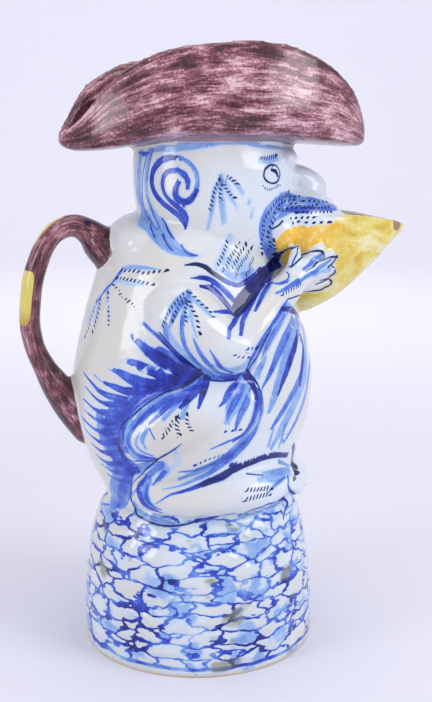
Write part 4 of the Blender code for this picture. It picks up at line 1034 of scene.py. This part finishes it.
def manganese(tree, streaks, place):
    """Manganese purple by how thin the brush left it, with pinholes where the glaze boiled."""
    specks = node(tree, "ShaderNodeTexVoronoi", {"Vector": place, "Scale": 260.0})
    pin = soft_step(tree, specks["Distance"], 0.16, 0.1)
    boiled = maths(tree, "MULTIPLY", cloudy(tree, place, 30.0), cloudy(tree, place, 900.0))
    few = soft_step(tree, boiled, 0.25, 0.4)
    purple = colour_ramp(tree, streaks, MANGANESE)
    return over(tree, purple, srgb(PINHOLE), maths(tree, "MULTIPLY", pin, few))


# The brush ran from tip to tip along the flaps, so its streaks follow them.

FLAP = 43.0
# The lighter grey along the keel is painted light, where light reaches into the channel of the brim.
KEEL_PAINTED_LIGHT = "#9C8A97"
WORN_EDGE = "#B9A39F"
NICK = (71, -9.5, 243)
NICKED_CLAY = "#C39B62"

hat_glaze, tree, shader, place, white = white_glaze("brushed manganese purple glaze")
glazes["hat"] = (hat_glaze, tree, shader)
shader.inputs["Roughness"].default_value = 0.2
brim = node(tree, "ShaderNodeAttribute", attribute_name="brim")["Vector"]
parts = node(tree, "ShaderNodeSeparateXYZ", {0: brim})
wander = node(tree, "ShaderNodeTexNoise", {"Vector": place, "Scale": 30.0, "Detail": 2.0})
lift = maths(tree, "MULTIPLY_ADD", wander["Fac"], 9.0, maths(tree, "MULTIPLY", parts["Y"], FLAP))


def brushed_lanes(length, width):
    """Streaks so many millimetres long and wide along the flap."""
    long_way = maths(tree, "DIVIDE", parts["X"], length)
    short_way = maths(tree, "DIVIDE", lift, width)
    side = maths(tree, "MULTIPLY", parts["Z"], 5.0)
    lane = node(tree, "ShaderNodeCombineXYZ", {0: long_way, 1: short_way, 2: side})
    streaky = {"Vector": lane[0], "Scale": 1.0, "Detail": 2.0, "Roughness": 0.6}
    return node(tree, "ShaderNodeTexNoise", streaky)["Fac"]


wide_lanes = brushed_lanes(22.0, 3.4)
hair_lanes = brushed_lanes(6.0, 0.9)
patches = cloudy(tree, place, 55.0, 3.0, (1, 0.3, 1.8))
grain = maths(tree, "MULTIPLY", cloudy(tree, place, 900.0, 1.0), 0.45)
lanes = maths(tree, "MULTIPLY_ADD", hair_lanes, 0.75, maths(tree, "MULTIPLY_ADD", wide_lanes, 1.1, -1.22))
streaks = maths(tree, "ADD", lanes, maths(tree, "MULTIPLY_ADD", patches, 1.15, grain))
purple = manganese(tree, streaks, place)
# Painted light: the purple turns a lighter grey low along the keel of the brim.
painted_light_on_keel = maths(tree, "MULTIPLY", soft_step(tree, parts["Y"], 0.1, 0.02), 0.75)
thin = over(tree, purple, srgb(KEEL_PAINTED_LIGHT), painted_light_on_keel)
on_edge = soft_step(tree, parts["Y"], 0.96, 0.985)
here_and_there = maths(tree, "MULTIPLY", soft_step(tree, cloudy(tree, place, 50.0), 0.45, 0.6), 0.7)
edged = over(tree, thin, srgb(WORN_EDGE), maths(tree, "MULTIPLY", on_edge, here_and_there))
nicked = spot_on(tree, place, NICK, maths(tree, "MULTIPLY", patches, 4 * MM), 5.2, 4.2)
edged = over(tree, edged, srgb(NICKED_CLAY), nicked)
tree.links.new(over(tree, white, edged, edge_of(tree, "on_hat", place)), shader.inputs["Base Color"])


# Strap handle
#
# A flattened strap, rolled over on itself where it meets the nape, bent out and pressed on again
# above the rump. Its middle line is given with its thickness against that of the grip.

HANDLE = [
    (-32, 175, 1.9), (-38, 180, 1.95), (-43.5, 185, 1.75), (-48.5, 190, 1.28), (-55, 193.2, 1.04),
    (-62, 191, 1), (-67.8, 184.5, 0.96), (-71.2, 176.5, 0.96), (-74, 166.5, 1), (-75.5, 152, 0.98),
    (-74, 141, 0.96), (-70, 131, 1.06), (-64.5, 121, 1.4), (-57, 109, 1.55), (-50, 99, 1.4),
]
HANDLE_WIDTH = 13.6
HANDLE_THICKNESS = 9.6

strap = [HANDLE_THICKNESS / 2 * fullness for _, _, fullness in HANDLE]
middle_line = [(x, 0, z) for x, z, _ in HANDLE]
clay["handle"] = [roll("handle", middle_line, strap, widening=HANDLE_WIDTH / HANDLE_THICKNESS, spread=0.4)]

# Manganese all over, brushed along the strap, with a yellow lozenge on its outer face and a yellow
# line over the bend above it.

LOZENGE = (162.0, 12.2)
LOZENGE_REACH = 5.4
LEMON, OCHRE = "#D9CB6B", "#BF9C3C"
BEND_FOOT = 184
BEND_FRONT = -58
NAVY_BLOT = (-49.0, -6.0, 195.0)
NAVY = "#2A2746"

handle_glaze, tree, shader, place, white = white_glaze("manganese purple and yellow glaze")
glazes["handle"] = (handle_glaze, tree, shader)
shader.inputs["Roughness"].default_value = 0.2
strap_place = node(tree, "ShaderNodeAttribute", attribute_name="strap")["Vector"]
outwards = node(tree, "ShaderNodeSeparateXYZ", {0: strap_place})["X"]
combed = node(tree, "ShaderNodeVectorMath", {0: strap_place, 1: (1.0, 1.0, 0.16)}, operation="MULTIPLY")
thready = {"Vector": combed[0], "Scale": 1.1, "Detail": 3.0, "Roughness": 0.65}
threads = node(tree, "ShaderNodeTexNoise", thready)["Fac"]
mottled = cloudy(tree, place, 110.0, 3.0)
worked = maths(tree, "MULTIPLY_ADD", threads, 1.2, maths(tree, "MULTIPLY_ADD", mottled, 0.9, -0.62))
outline = soft_step(tree, maths(tree, "ABSOLUTE", outwards), 3.2, 4.8)
purple = manganese(tree, maths(tree, "MULTIPLY_ADD", outline, -0.16, worked), place)
place_parts = node(tree, "ShaderNodeSeparateXYZ", {0: place})
behind, height = place_parts["X"], place_parts["Z"]
up_lozenge = maths(tree, "DIVIDE", maths(tree, "SUBTRACT", height, LOZENGE[0] * MM), LOZENGE[1] * MM)
over_lozenge = maths(tree, "DIVIDE", maths(tree, "SUBTRACT", 4.9, outwards), LOZENGE_REACH)
squared_up = maths(tree, "POWER", maths(tree, "ABSOLUTE", up_lozenge), 4.0)
from_middle = maths(tree, "ADD", squared_up, maths(tree, "POWER", over_lozenge, 4.0))
lozenge = soft_step(tree, from_middle, 1.1, 0.85)
above = soft_step(tree, height, BEND_FOOT * MM, (BEND_FOOT + 3) * MM)
edge_line = maths(tree, "MULTIPLY", soft_step(tree, outwards, 3.9, 4.3), above)
outer_bend = soft_step(tree, behind, BEND_FRONT * MM, (BEND_FRONT - 3) * MM)
edge_line = maths(tree, "MULTIPLY", edge_line, outer_bend)
lower_end = soft_step(tree, height, (LOZENGE[0] - 4) * MM, (LOZENGE[0] - 12) * MM)
yellow = over(tree, srgb(LEMON), srgb(OCHRE), lower_end)
banded = over(tree, purple, yellow, maths(tree, "MAXIMUM", lozenge, edge_line))
blot = spot_on(tree, place, NAVY_BLOT, maths(tree, "MULTIPLY", mottled, 3 * MM), 4.2, 3)
banded = over(tree, banded, srgb(NAVY), blot)
tree.links.new(over(tree, white, banded, edge_of(tree, "on_handle", place)), shader.inputs["Base Color"])


# Luting and hollowing
#
# The formed pieces are luted into one skin with the joints sponged smooth, and the inside is
# hollow, with one space through base, belly and head.

CLAY_VOXEL = 1.15
OUTSIDE_FACES = 172000
HOLLOW_VOXEL = 1.6
HOLLOW_FACES = 14000
FLOOR_THICKNESS = 7.0
INNER_WAIST = [(60, -46, 46, 46), (68, -41, 42, 41)]
MOUTH_LOW = 200
MOUTH_HIGH = 280
UNEVENNESS = 0.35
ROCKIER = 1.6
ROCK_TOP = 70


def luted(name, pieces, voxel, sponging=3):
    """Pieces fused into one skin, with the joints sponged smooth."""
    bm = bmesh.new()
    for piece in pieces:
        bm.from_mesh(piece.data)
    obj = piece_of_clay(name, bm)
    fuse = obj.modifiers.new("luted", "REMESH")
    fuse.mode = "VOXEL"
    fuse.voxel_size = voxel * MM
    sponge = obj.modifiers.new("sponged", "SMOOTH")
    sponge.factor = 0.5
    sponge.iterations = sponging
    return made_mesh(obj)


def thinned(obj, faces):
    fewer = obj.modifiers.new("fewer faces", "DECIMATE")
    fewer.ratio = faces / sum(len(face.vertices) - 2 for face in obj.data.polygons)
    return made_mesh(obj)


def inside_space():
    """What the walls leave open: drum and belly in one, the head, the mouth and the shell's bowl."""
    drum = [(FLOOR_THICKNESS, BASE_PROFILE[4][0]), *((z, r) for r, z in BASE_PROFILE if 15 < z < 60)]
    drum = [(z, -r, r, r) for z, r in drum]
    belly = [s for s in BELLY if 75 < s[0] < 190]
    pieces = [
        skin_rings("inner drum", upright_rings(drum + INNER_WAIST + belly, BODY_WALL)),
        skin_rings("inner head", upright_rings([s for s in HEAD if s[0] < CROWN_FOOT], BODY_WALL)),
        upright_cone("mouth", MOUTH_LOW, MOUTH_HIGH, MOUTH_RADIUS, MOUTH_RADIUS),
        shell_bowl(),
    ]
    return luted("inside", pieces, HOLLOW_VOXEL)


outside = luted("outside", sum(clay.values(), []), CLAY_VOXEL)
outside = thinned(outside, OUTSIDE_FACES)
hollow = thinned(inside_space(), HOLLOW_FACES)

bm = bmesh.new()
bmesh.ops.create_cube(bm, size=0.3, matrix=Matrix.Translation((0, 0, -0.15)))
resting_plane = piece_of_clay("resting plane", bm)

jug = outside
for cutter, name in ((hollow, "hollowed"), (resting_plane, "flat underside")):
    cut = jug.modifiers.new(name, "BOOLEAN")
    cut.operation = "DIFFERENCE"
    cut.object = cutter
jug = made_mesh(jug)
jug.name = "faience_jug"
raw_clay.objects.unlink(jug)
bpy.context.scene.collection.objects.link(jug)

# The formed pieces are kept as points and faces, to tell later whose clay a spot of the skin is.

formed = {}
for name, pieces in clay.items():
    points, faces = [], []
    for piece in pieces:
        faces += [tuple(i + len(points) for i in face.vertices) for face in piece.data.polygons]
        points += [vertex.co / MM for vertex in piece.data.vertices]
    formed[name] = (points, faces)
for piece in list(raw_clay.objects):
    bpy.data.objects.remove(piece)
bpy.data.collections.remove(raw_clay)
jug.data.shade_smooth()

# No hand-smoothed pot is quite even: long low swells and dents under the glaze.

moved = []
for vertex in jug.data.vertices:
    swell = noise.noise(vertex.co * 48) + 0.5 * noise.noise(vertex.co * 105)
    above_foot = min(1, max(0, vertex.co.z / MM - 1))
    rockier = 1 + ROCKIER * min(1, max(0, (ROCK_TOP - vertex.co.z / MM) / 6))
    moved.append(vertex.co + vertex.normal * swell * above_foot * rockier * UNEVENNESS * MM)
jug.data.vertices.foreach_set("co", np.array(moved).ravel())


# Painting
#
# Every brush stroke is laid over the finished skin by its own path, and the glaze of each piece
# ends where the next piece of clay begins.

PAINT_LAYERS = 18
FAR_OFF = 9.0
APART = 1.35
FADE = 3.0
TICK_SLANT = 0.55
STROKE_STEPS = 12
STROKE_SHIFT = 40

skin = jug.data
spots = np.empty(len(skin.vertices) * 3)
skin.vertices.foreach_get("co", spots)
spots = spots.reshape(-1, 3) / MM
mirrored = spots * (1, -1, 1)
mirrored[:, 1] = -np.abs(spots[:, 1])
surface = BVHTree.FromPolygons([v.co / MM for v in skin.vertices], [tuple(f.vertices) for f in skin.polygons])


def flowing(points):
    """A hand's smooth path through the points of a stroke, with its width."""
    points = np.array(points, float)
    if len(points) == 2:
        points = np.vstack([points[0], points.mean(axis=0), points[1]])
    ends = np.vstack([2 * points[0] - points[1], points, 2 * points[-1] - points[-2]])
    path = []
    for a, b, c, d in zip(ends, ends[1:], ends[2:], ends[3:]):
        square, cube = 2 * a - 5 * b + 4 * c - d, 3 * b - a - 3 * c + d
        for t in np.linspace(0, 1, STROKE_STEPS, endpoint=False):
            path.append(0.5 * (2 * b + (c - a) * t + square * t * t + cube * t ** 3))
    return np.array([*path, points[-1]])


def laid_down(points, across):
    """The stroke's path on the skin, with the way the skin faces and the half width at each step.

    The skin is looked for along Y for a stroke across the jug, and from outside to its axis for others."""
    places, facings, widths = [], [], []
    for where, height, width in flowing(points):
        if across:
            start, way = Vector((where, -300, height)), Vector((0, 1, 0))
        else:
            turn = math.radians(where)
            way = Vector((-math.cos(turn), -math.sin(turn), 0))
            start = Vector((0, 0, height)) - way * 200
        place, facing, _, _ = surface.ray_cast(start, way)
        if place is None:
            continue
        places.append(place)
        facings.append(facing)
        widths.append(max(width, 0.3) / 2)
    return np.array(places), np.array(facings), np.array(widths)


def brushed(places, facings, widths, near):
    """For each spot near a stroke: signed distance across it, distance to it, place along it, half width."""
    start, step = places[:-1], np.diff(places, axis=0)
    length = np.linalg.norm(step, axis=1)
    whole = (length > 0.05) & (length < 5)
    start, step, length, facing = start[whole], step[whole], length[whole], facings[:-1][whole]
    along = np.concatenate([[0], np.cumsum(length)])
    from_start = near[:, None, :] - start[None, :, :]
    t = np.clip((from_start * step).sum(axis=2) / length ** 2, 0, 1)
    gap = np.linalg.norm(from_start - t[..., None] * step, axis=2)
    best = gap.argmin(axis=1)
    rows = np.arange(len(near))
    t, gap = t[rows, best], gap[rows, best]
    side = np.cross(step / length[:, None], facing)
    signed = (from_start[rows, best] * side[best]).sum(axis=1)
    first, second = widths[:-1][whole], widths[1:][whole]
    return signed, gap, along[best] + t * length[best], first[best] * (1 - t) + second[best] * t, along[-1]


layers = [
    {
        "place": np.tile((FAR_OFF, FAR_OFF, 0.0), (len(spots), 1)),
        "brush": np.zeros((len(spots), 3)),
        "taken": np.zeros(len(spots), bool),
    }
    for _ in range(PAINT_LAYERS)
]
strokes = [(*stroke, False) for stroke in brushwork] + [(*stroke, True) for stroke in across_strokes]
for number, (cobalt, ticks, width, points, across) in enumerate(strokes):
    broad = np.broadcast_to(width, len(points))
    places, facings, widths = laid_down(np.column_stack([points, broad]), across)
    if len(places) < 3:
        continue
    low, high = places.min(axis=0) - FAR_OFF, places.max(axis=0) + FAR_OFF
    near = np.nonzero(((mirrored > low) & (mirrored < high)).all(axis=1))[0]
    signed, gap, along, half, length = brushed(places, facings, widths, mirrored[near])
    close = gap < half + FADE
    near, signed, gap, along, half = near[close], signed[close], gap[close], along[close], half[close]
    reach = gap < half + APART
    clashes = [np.count_nonzero(layer["taken"][near[reach]]) for layer in layers]
    chosen = layers[int(np.argmin(clashes))]
    held = chosen["place"][near, 1] - chosen["brush"][near, 0]
    mine = ((gap - half) < held) & (reach | ~chosen["taken"][near])
    chosen["taken"][near[reach]] = True
    near, signed, gap, along, half = near[mine], signed[mine], gap[mine], along[mine], half[mine]
    first, last = cobalt if isinstance(cobalt, tuple) else (cobalt, cobalt)
    load = first + (last - first) * along / length
    if ticks:
        along = along + TICK_SLANT * signed
    chosen["place"][near] = np.stack([signed, gap, along + STROKE_SHIFT * number], axis=1)
    chosen["brush"][near] = np.stack([half, load, np.full(len(near), float(ticks))], axis=1)


def written(name, values):
    """Keeps a number or a vector for each vertex of the skin, under a name that the glazes read."""
    kind, field = ("FLOAT", "value") if values.ndim == 1 else ("FLOAT_VECTOR", "vector")
    skin.attributes.new(name, kind, "POINT").data.foreach_set(field, values.ravel())


for number, layer in enumerate(layers):
    written(f"stroke_place_{number}", layer["place"])
    written(f"stroke_brush_{number}", layer["brush"])


def one_stroke():
    """What one layer of strokes leaves on the glaze: cobalt, and outline ink."""
    tree = bpy.data.node_groups.new("brush stroke", "ShaderNodeTree")
    for name in ("Place", "Brush", "Spot"):
        tree.interface.new_socket(name, in_out="INPUT", socket_type="NodeSocketVector")
    for name in ("Cobalt", "Ink"):
        tree.interface.new_socket(name, in_out="OUTPUT", socket_type="NodeSocketFloat")
    given = tree.nodes.new("NodeGroupInput").outputs
    place = node(tree, "ShaderNodeSeparateXYZ", {0: given["Place"]})
    brush = node(tree, "ShaderNodeSeparateXYZ", {0: given["Brush"]})
    waver = maths(tree, "MULTIPLY_ADD", cloudy(tree, given["Spot"], 380.0, 3.0), 0.7, -0.35)
    waver = maths(tree, "MULTIPLY", waver, maths(tree, "MINIMUM", brush["X"], 1.0))
    broad = maths(tree, "ADD", maths(tree, "SUBTRACT", brush["X"], place["Y"]), waver)
    across = maths(tree, "SUBTRACT", brush["X"], maths(tree, "ABSOLUTE", place["X"]))
    guard = maths(tree, "SUBTRACT", maths(tree, "ADD", brush["X"], 0.8), place["Y"])
    slender = maths(tree, "MULTIPLY", maths(tree, "SUBTRACT", 2.0, brush["X"]), 4.0)
    fine = maths(tree, "MINIMUM", maths(tree, "MINIMUM", across, guard), slender)
    down_stroke = maths(tree, "MULTIPLY", place["Z"], 0.07)
    lanes = node(tree, "ShaderNodeCombineXYZ", {0: down_stroke, 1: maths(tree, "MULTIPLY", place["X"], 1.7)})
    bristles = node(tree, "ShaderNodeTexNoise", {"Vector": lanes[0], "Scale": 1.0, "Detail": 3.0})["Fac"]
    streak = maths(tree, "SUBTRACT", bristles, 0.5)
    ragged = maths(tree, "MULTIPLY", streak, maths(tree, "MINIMUM", brush["X"], 1.1))
    inside = maths(tree, "ADD", maths(tree, "MAXIMUM", broad, fine), maths(tree, "ADD", ragged, 0.1))
    wetness = maths(tree, "MULTIPLY_ADD", brush["X"], 0.45, 1.0)
    cover = soft_step(tree, maths(tree, "DIVIDE", inside, wetness), -0.14, 0.24)
    spacing = maths(tree, "MAXIMUM", brush["Z"], 0.01)
    beat = maths(tree, "FRACT", maths(tree, "DIVIDE", place["Z"], spacing))
    from_beat = maths(tree, "ABSOLUTE", maths(tree, "SUBTRACT", beat, 0.5))
    uneven = maths(tree, "MULTIPLY_ADD", cloudy(tree, given["Spot"], 600.0), 0.16, 0.12)
    in_tick = maths(tree, "MULTIPLY", maths(tree, "SUBTRACT", uneven, from_beat), spacing)
    tick = soft_step(tree, in_tick, -0.12, 0.12)
    whole = soft_step(tree, brush["Z"], 0.2, 0.1)
    marked = maths(tree, "MULTIPLY", cover, maths(tree, "MAXIMUM", tick, whole))
    loaded = maths(tree, "MULTIPLY_ADD", streak, 0.9, 0.97)
    amount = maths(tree, "MULTIPLY", brush["Y"], loaded, clamp=True)
    bled = maths(tree, "MULTIPLY", soft_step(tree, inside, -1.1, 0.2), maths(tree, "MULTIPLY", whole, 0.13))
    left_there = maths(tree, "MAXIMUM", maths(tree, "MULTIPLY", marked, amount), bled)
    result = tree.nodes.new("NodeGroupOutput")
    tree.links.new(left_there, result.inputs["Cobalt"])
    ink = maths(tree, "MULTIPLY", maths(tree, "SUBTRACT", brush["Y"], 1.0), 6.0, clamp=True)
    tree.links.new(maths(tree, "MULTIPLY", marked, ink), result.inputs["Ink"])
    return tree


def all_strokes():
    """Every layer of strokes over a glaze."""
    tree = bpy.data.node_groups.new("cobalt brushwork", "ShaderNodeTree")
    tree.interface.new_socket("Glaze", in_out="INPUT", socket_type="NodeSocketColor")
    tree.interface.new_socket("Painted", in_out="OUTPUT", socket_type="NodeSocketColor")
    given = tree.nodes.new("NodeGroupInput").outputs
    spot = node(tree, "ShaderNodeTexCoord")["Object"]
    stroke_tree = one_stroke()
    clear, most, ink = None, None, None
    for number in range(PAINT_LAYERS):
        place = node(tree, "ShaderNodeAttribute", attribute_name=f"stroke_place_{number}")["Vector"]
        brush = node(tree, "ShaderNodeAttribute", attribute_name=f"stroke_brush_{number}")["Vector"]
        stroke = node(tree, "ShaderNodeGroup", {}, node_tree=stroke_tree)
        group = tree.nodes[-1]
        for socket, value in (("Place", place), ("Brush", brush), ("Spot", spot)):
            tree.links.new(value, group.inputs[socket])
        left = maths(tree, "SUBTRACT", 1.0, stroke["Cobalt"])
        clear = left if clear is None else maths(tree, "MULTIPLY", clear, left)
        most = stroke["Cobalt"] if most is None else maths(tree, "MAXIMUM", most, stroke["Cobalt"])
        ink = stroke["Ink"] if ink is None else maths(tree, "MAXIMUM", ink, stroke["Ink"])
    result = tree.nodes.new("NodeGroupOutput")
    both = maths(tree, "MULTIPLY", maths(tree, "SUBTRACT", 1.0, clear), 0.4)
    painted = cobalt_over(tree, given["Glaze"], maths(tree, "MULTIPLY_ADD", most, 0.6, both), ink)
    tree.links.new(painted, result.inputs["Painted"])
    return tree


all_brushwork = all_strokes()
for name in ("base", "body", "shell"):
    _, tree, shader = glazes[name]
    colour = shader.inputs["Base Color"].links[0].from_socket
    painted = node(tree, "ShaderNodeGroup", {}, node_tree=all_brushwork)
    tree.links.new(colour, tree.nodes[-1].inputs["Glaze"])
    tree.links.new(painted["Painted"], shader.inputs["Base Color"])


def reach_to(pieces, chosen):
    """How far each chosen spot is from the clay of these pieces."""
    distance = np.full(len(spots), 99.0)
    tree = BVHTree.FromPolygons(*pieces)
    distance[chosen] = [tree.find_nearest(Vector(spot))[3] for spot in spots[chosen]]
    return distance


PIECE_ROOM = {
    "base": lambda x, z: z < 90,
    "body": lambda x, z: z < 210,
    "head": lambda x, z: (z > 155) & (z < 230),
    "shell": lambda x, z: (x > 20) & (z > 145) & (z < 205),
    "hat": lambda x, z: z > 218,
    "handle": lambda x, z: (x < -26) & (z > 85) & (z < 215),
}
CORNER_OF_MOUTH = 12
UPPER_LIP = 205
THUMB_EDGE = 1.5
SEAM_BLEND = 10

across_x, across_y, across_z = spots.T
gaps = {}
for name, room in PIECE_ROOM.items():
    gaps[name] = reach_to(formed[name], np.nonzero(room(across_x, across_z))[0])
yellow_top = section_curves(YELLOW_TOP, across_x, 1)[0]
held_yellow = np.clip(yellow_top - across_z, -THUMB_EDGE, THUMB_EDGE) * YELLOW_PULL
beside_mouth = (across_x > YELLOW_TOP[0][0]) & (across_x < YELLOW_TOP[-1][0])
beside_mouth &= (np.abs(across_y) > CORNER_OF_MOUTH) & (across_z < UPPER_LIP)
off_arm = beside_mouth & (gaps["head"] < THUMB_EDGE) & (gaps["body"] > THUMB_EDGE)
gaps["body"] += np.where(off_arm, held_yellow, 0)
gaps["head"] += np.where(beside_mouth, held_yellow, 0)
fields = {}
for name in gaps:
    others = np.min([gap for other, gap in gaps.items() if other != name], axis=0)
    fields[name] = np.clip(others - gaps[name], -FAR_OFF, FAR_OFF)
for name in ("base", "shell", "hat", "handle"):
    written(f"on_{name}", fields[name])

# Place on the brim along X and up the flap from 0 to 1, with the side.

keel, right_edge, left_edge = section_curves(HAT, np.clip(across_x, HAT[0][0], HAT[-1][0]), 1, 2, 3)
edge = np.where(across_y < 0, right_edge, left_edge)
up_flap = np.clip((across_z - keel) / (edge - keel), 0, 1)
written("brim", np.stack([across_x, up_flap, np.clip(across_y / SEAM_BLEND, -1, 1)], axis=1))

# Depth in the shell, about 1 on its outer skin and less on the inner one.

rim_line, keel_line, half_width = section_curves(SHELL, across_x, 1, 2, 3)
out_of = np.abs(across_y) / half_width
down_of = np.clip((rim_line - across_z) / (rim_line - keel_line), 0, 1)
written("shell_depth", np.hypot(out_of ** 1.18, down_of ** 1.05))

# Place on the strap: outwards from its middle line, across it and along it.

line = flowing(HANDLE)[:, :2]
run = np.concatenate([[0], np.cumsum(np.linalg.norm(np.diff(line, axis=0), axis=1))])
nearest = np.linalg.norm(spots[:, None, (0, 2)] - line[None, ::3], axis=2).argmin(axis=1) * 3
way = np.gradient(line, axis=0)[nearest]
outward = ((spots[:, (0, 2)] - line[nearest]) * np.stack([-way[:, 1], way[:, 0]], axis=1)).sum(axis=1)
outward /= -np.linalg.norm(way, axis=1)
written("strap", np.stack([outward, across_y, run[nearest]], axis=1))

# Each face takes the glaze of the piece of clay that it lies on.

order = ["body", "base", "shell", "hat", "handle"]
skin.materials.clear()
for name in order:
    skin.materials.append(glazes[name][0])
corners = np.empty(len(skin.loops), int)
skin.loops.foreach_get("vertex_index", corners)
starts = np.empty(len(skin.polygons), int)
skin.polygons.foreach_get("loop_start", starts)
slots = np.zeros(len(skin.polygons), int)
for slot_number, name in enumerate(order[1:], start=1):
    most = np.maximum.reduceat(fields[name][corners], starts)
    slots[most > -1.0] = slot_number
skin.polygons.foreach_set("material_index", slots)

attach(jug, "root")
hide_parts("jug")


# Photographer's table
#
# A plain pale paper sweep that rises all round, a soft box on each side, a soft light from above,
# one on the paper behind, and a camera level with the hat, turned ten degrees towards the handle.

SWEEP_RADIUS = 1.5
SWEEP_BEND = 0.7
SWEEP_TOP = 1.5
LONG_SIDE_SENSOR = 36.0
CAMERA_TURN = -10.0
CAMERA_PITCH = 11.44
CAMERA_DISTANCE = 500
CAMERA_HEIGHT = 236
CAMERA_ASIDE = 8.5
LENS = 57.0


def sweep():
    profile = [(r, 0.0) for r in np.linspace(0.02, SWEEP_RADIUS, 12)]
    for a in np.linspace(0, math.pi / 2, 14)[1:]:
        profile.append((SWEEP_RADIUS + SWEEP_BEND * math.sin(a), SWEEP_BEND * (1 - math.cos(a))))
    profile.append((SWEEP_RADIUS + SWEEP_BEND, SWEEP_TOP))
    bm = bmesh.new()
    turns = np.linspace(0, 2 * math.pi, 96, endpoint=False)
    rings = [[bm.verts.new((r * math.cos(a), r * math.sin(a), z)) for a in turns] for r, z in profile]
    bm.faces.new(rings[0])
    for inner, outer in zip(rings, rings[1:]):
        for i in range(len(turns)):
            j = (i + 1) % len(turns)
            bm.faces.new((inner[i], outer[i], outer[j], inner[j]))
    mesh = bpy.data.meshes.new("sweep")
    bm.to_mesh(mesh)
    bm.free()
    mesh.shade_smooth()
    obj = bpy.data.objects.new("pale_sweep", mesh)
    bpy.context.scene.collection.objects.link(obj)
    return obj


floor = sweep()
paper = bpy.data.materials.new("matt pale paper")
paper.use_nodes = True
matt = paper.node_tree.nodes["Principled BSDF"].inputs
matt["Base Color"].default_value = srgb("#E4E3EC")
matt["Roughness"].default_value = 0.9
floor.data.materials.append(paper)


def lamp(name, place, aim, size, power):
    light = bpy.data.lights.new(name, "AREA")
    light.shape = "RECTANGLE"
    light.size, light.size_y = size
    light.energy = power
    obj = bpy.data.objects.new(name, light)
    obj.location = place
    obj.rotation_euler = (Vector(aim) - Vector(place)).to_track_quat("-Z", "Y").to_euler()
    bpy.context.scene.collection.objects.link(obj)


lamp("soft box left", (-1.05, -0.42, 0.42), (0, 0, 0.14), (0.4, 0.5), 3.4)
lamp("soft box right", (0.95, -0.75, 0.8), (0, 0, 0.16), (0.7, 0.6), 7.2)
lamp("top light", (0.0, 0.0, 1.3), (0, 0, 0.1), (1.2, 1.2), 4.4)
lamp("backdrop light", (0.1, 0.75, 1.0), (0.35, 2.0, 0.35), (1.0, 0.6), 7)

sky = bpy.data.worlds.new("pale room")
sky.use_nodes = True
glow = sky.node_tree.nodes["Background"].inputs
glow["Color"].default_value = srgb("#F1F2F9")
glow["Strength"].default_value = 0.75
bpy.context.scene.world = sky

turn, pitch = math.radians(CAMERA_TURN), math.radians(CAMERA_PITCH)
right = Vector((math.cos(turn), math.sin(turn), 0))
level = Vector((-math.sin(turn), math.cos(turn), 0))
ahead = level * math.cos(pitch) - Vector((0, 0, 1)) * math.sin(pitch)
upward = right.cross(ahead)
stand = Vector((0, 0, CAMERA_HEIGHT * MM)) - level * CAMERA_DISTANCE * MM + right * CAMERA_ASIDE * MM
camera = bpy.data.objects.new("camera", bpy.data.cameras.new("camera"))
camera.matrix_world = Matrix(
    (
        (right.x, upward.x, -ahead.x, stand.x),
        (right.y, upward.y, -ahead.y, stand.y),
        (right.z, upward.z, -ahead.z, stand.z),
        (0, 0, 0, 1),
    )
)
camera.data.sensor_width = LONG_SIDE_SENSOR
camera.data.lens = LENS
camera.data.clip_start = 0.01
bpy.context.scene.collection.objects.link(camera)
bpy.context.scene.camera = camera
bpy.context.scene.view_settings.view_transform = "Standard"
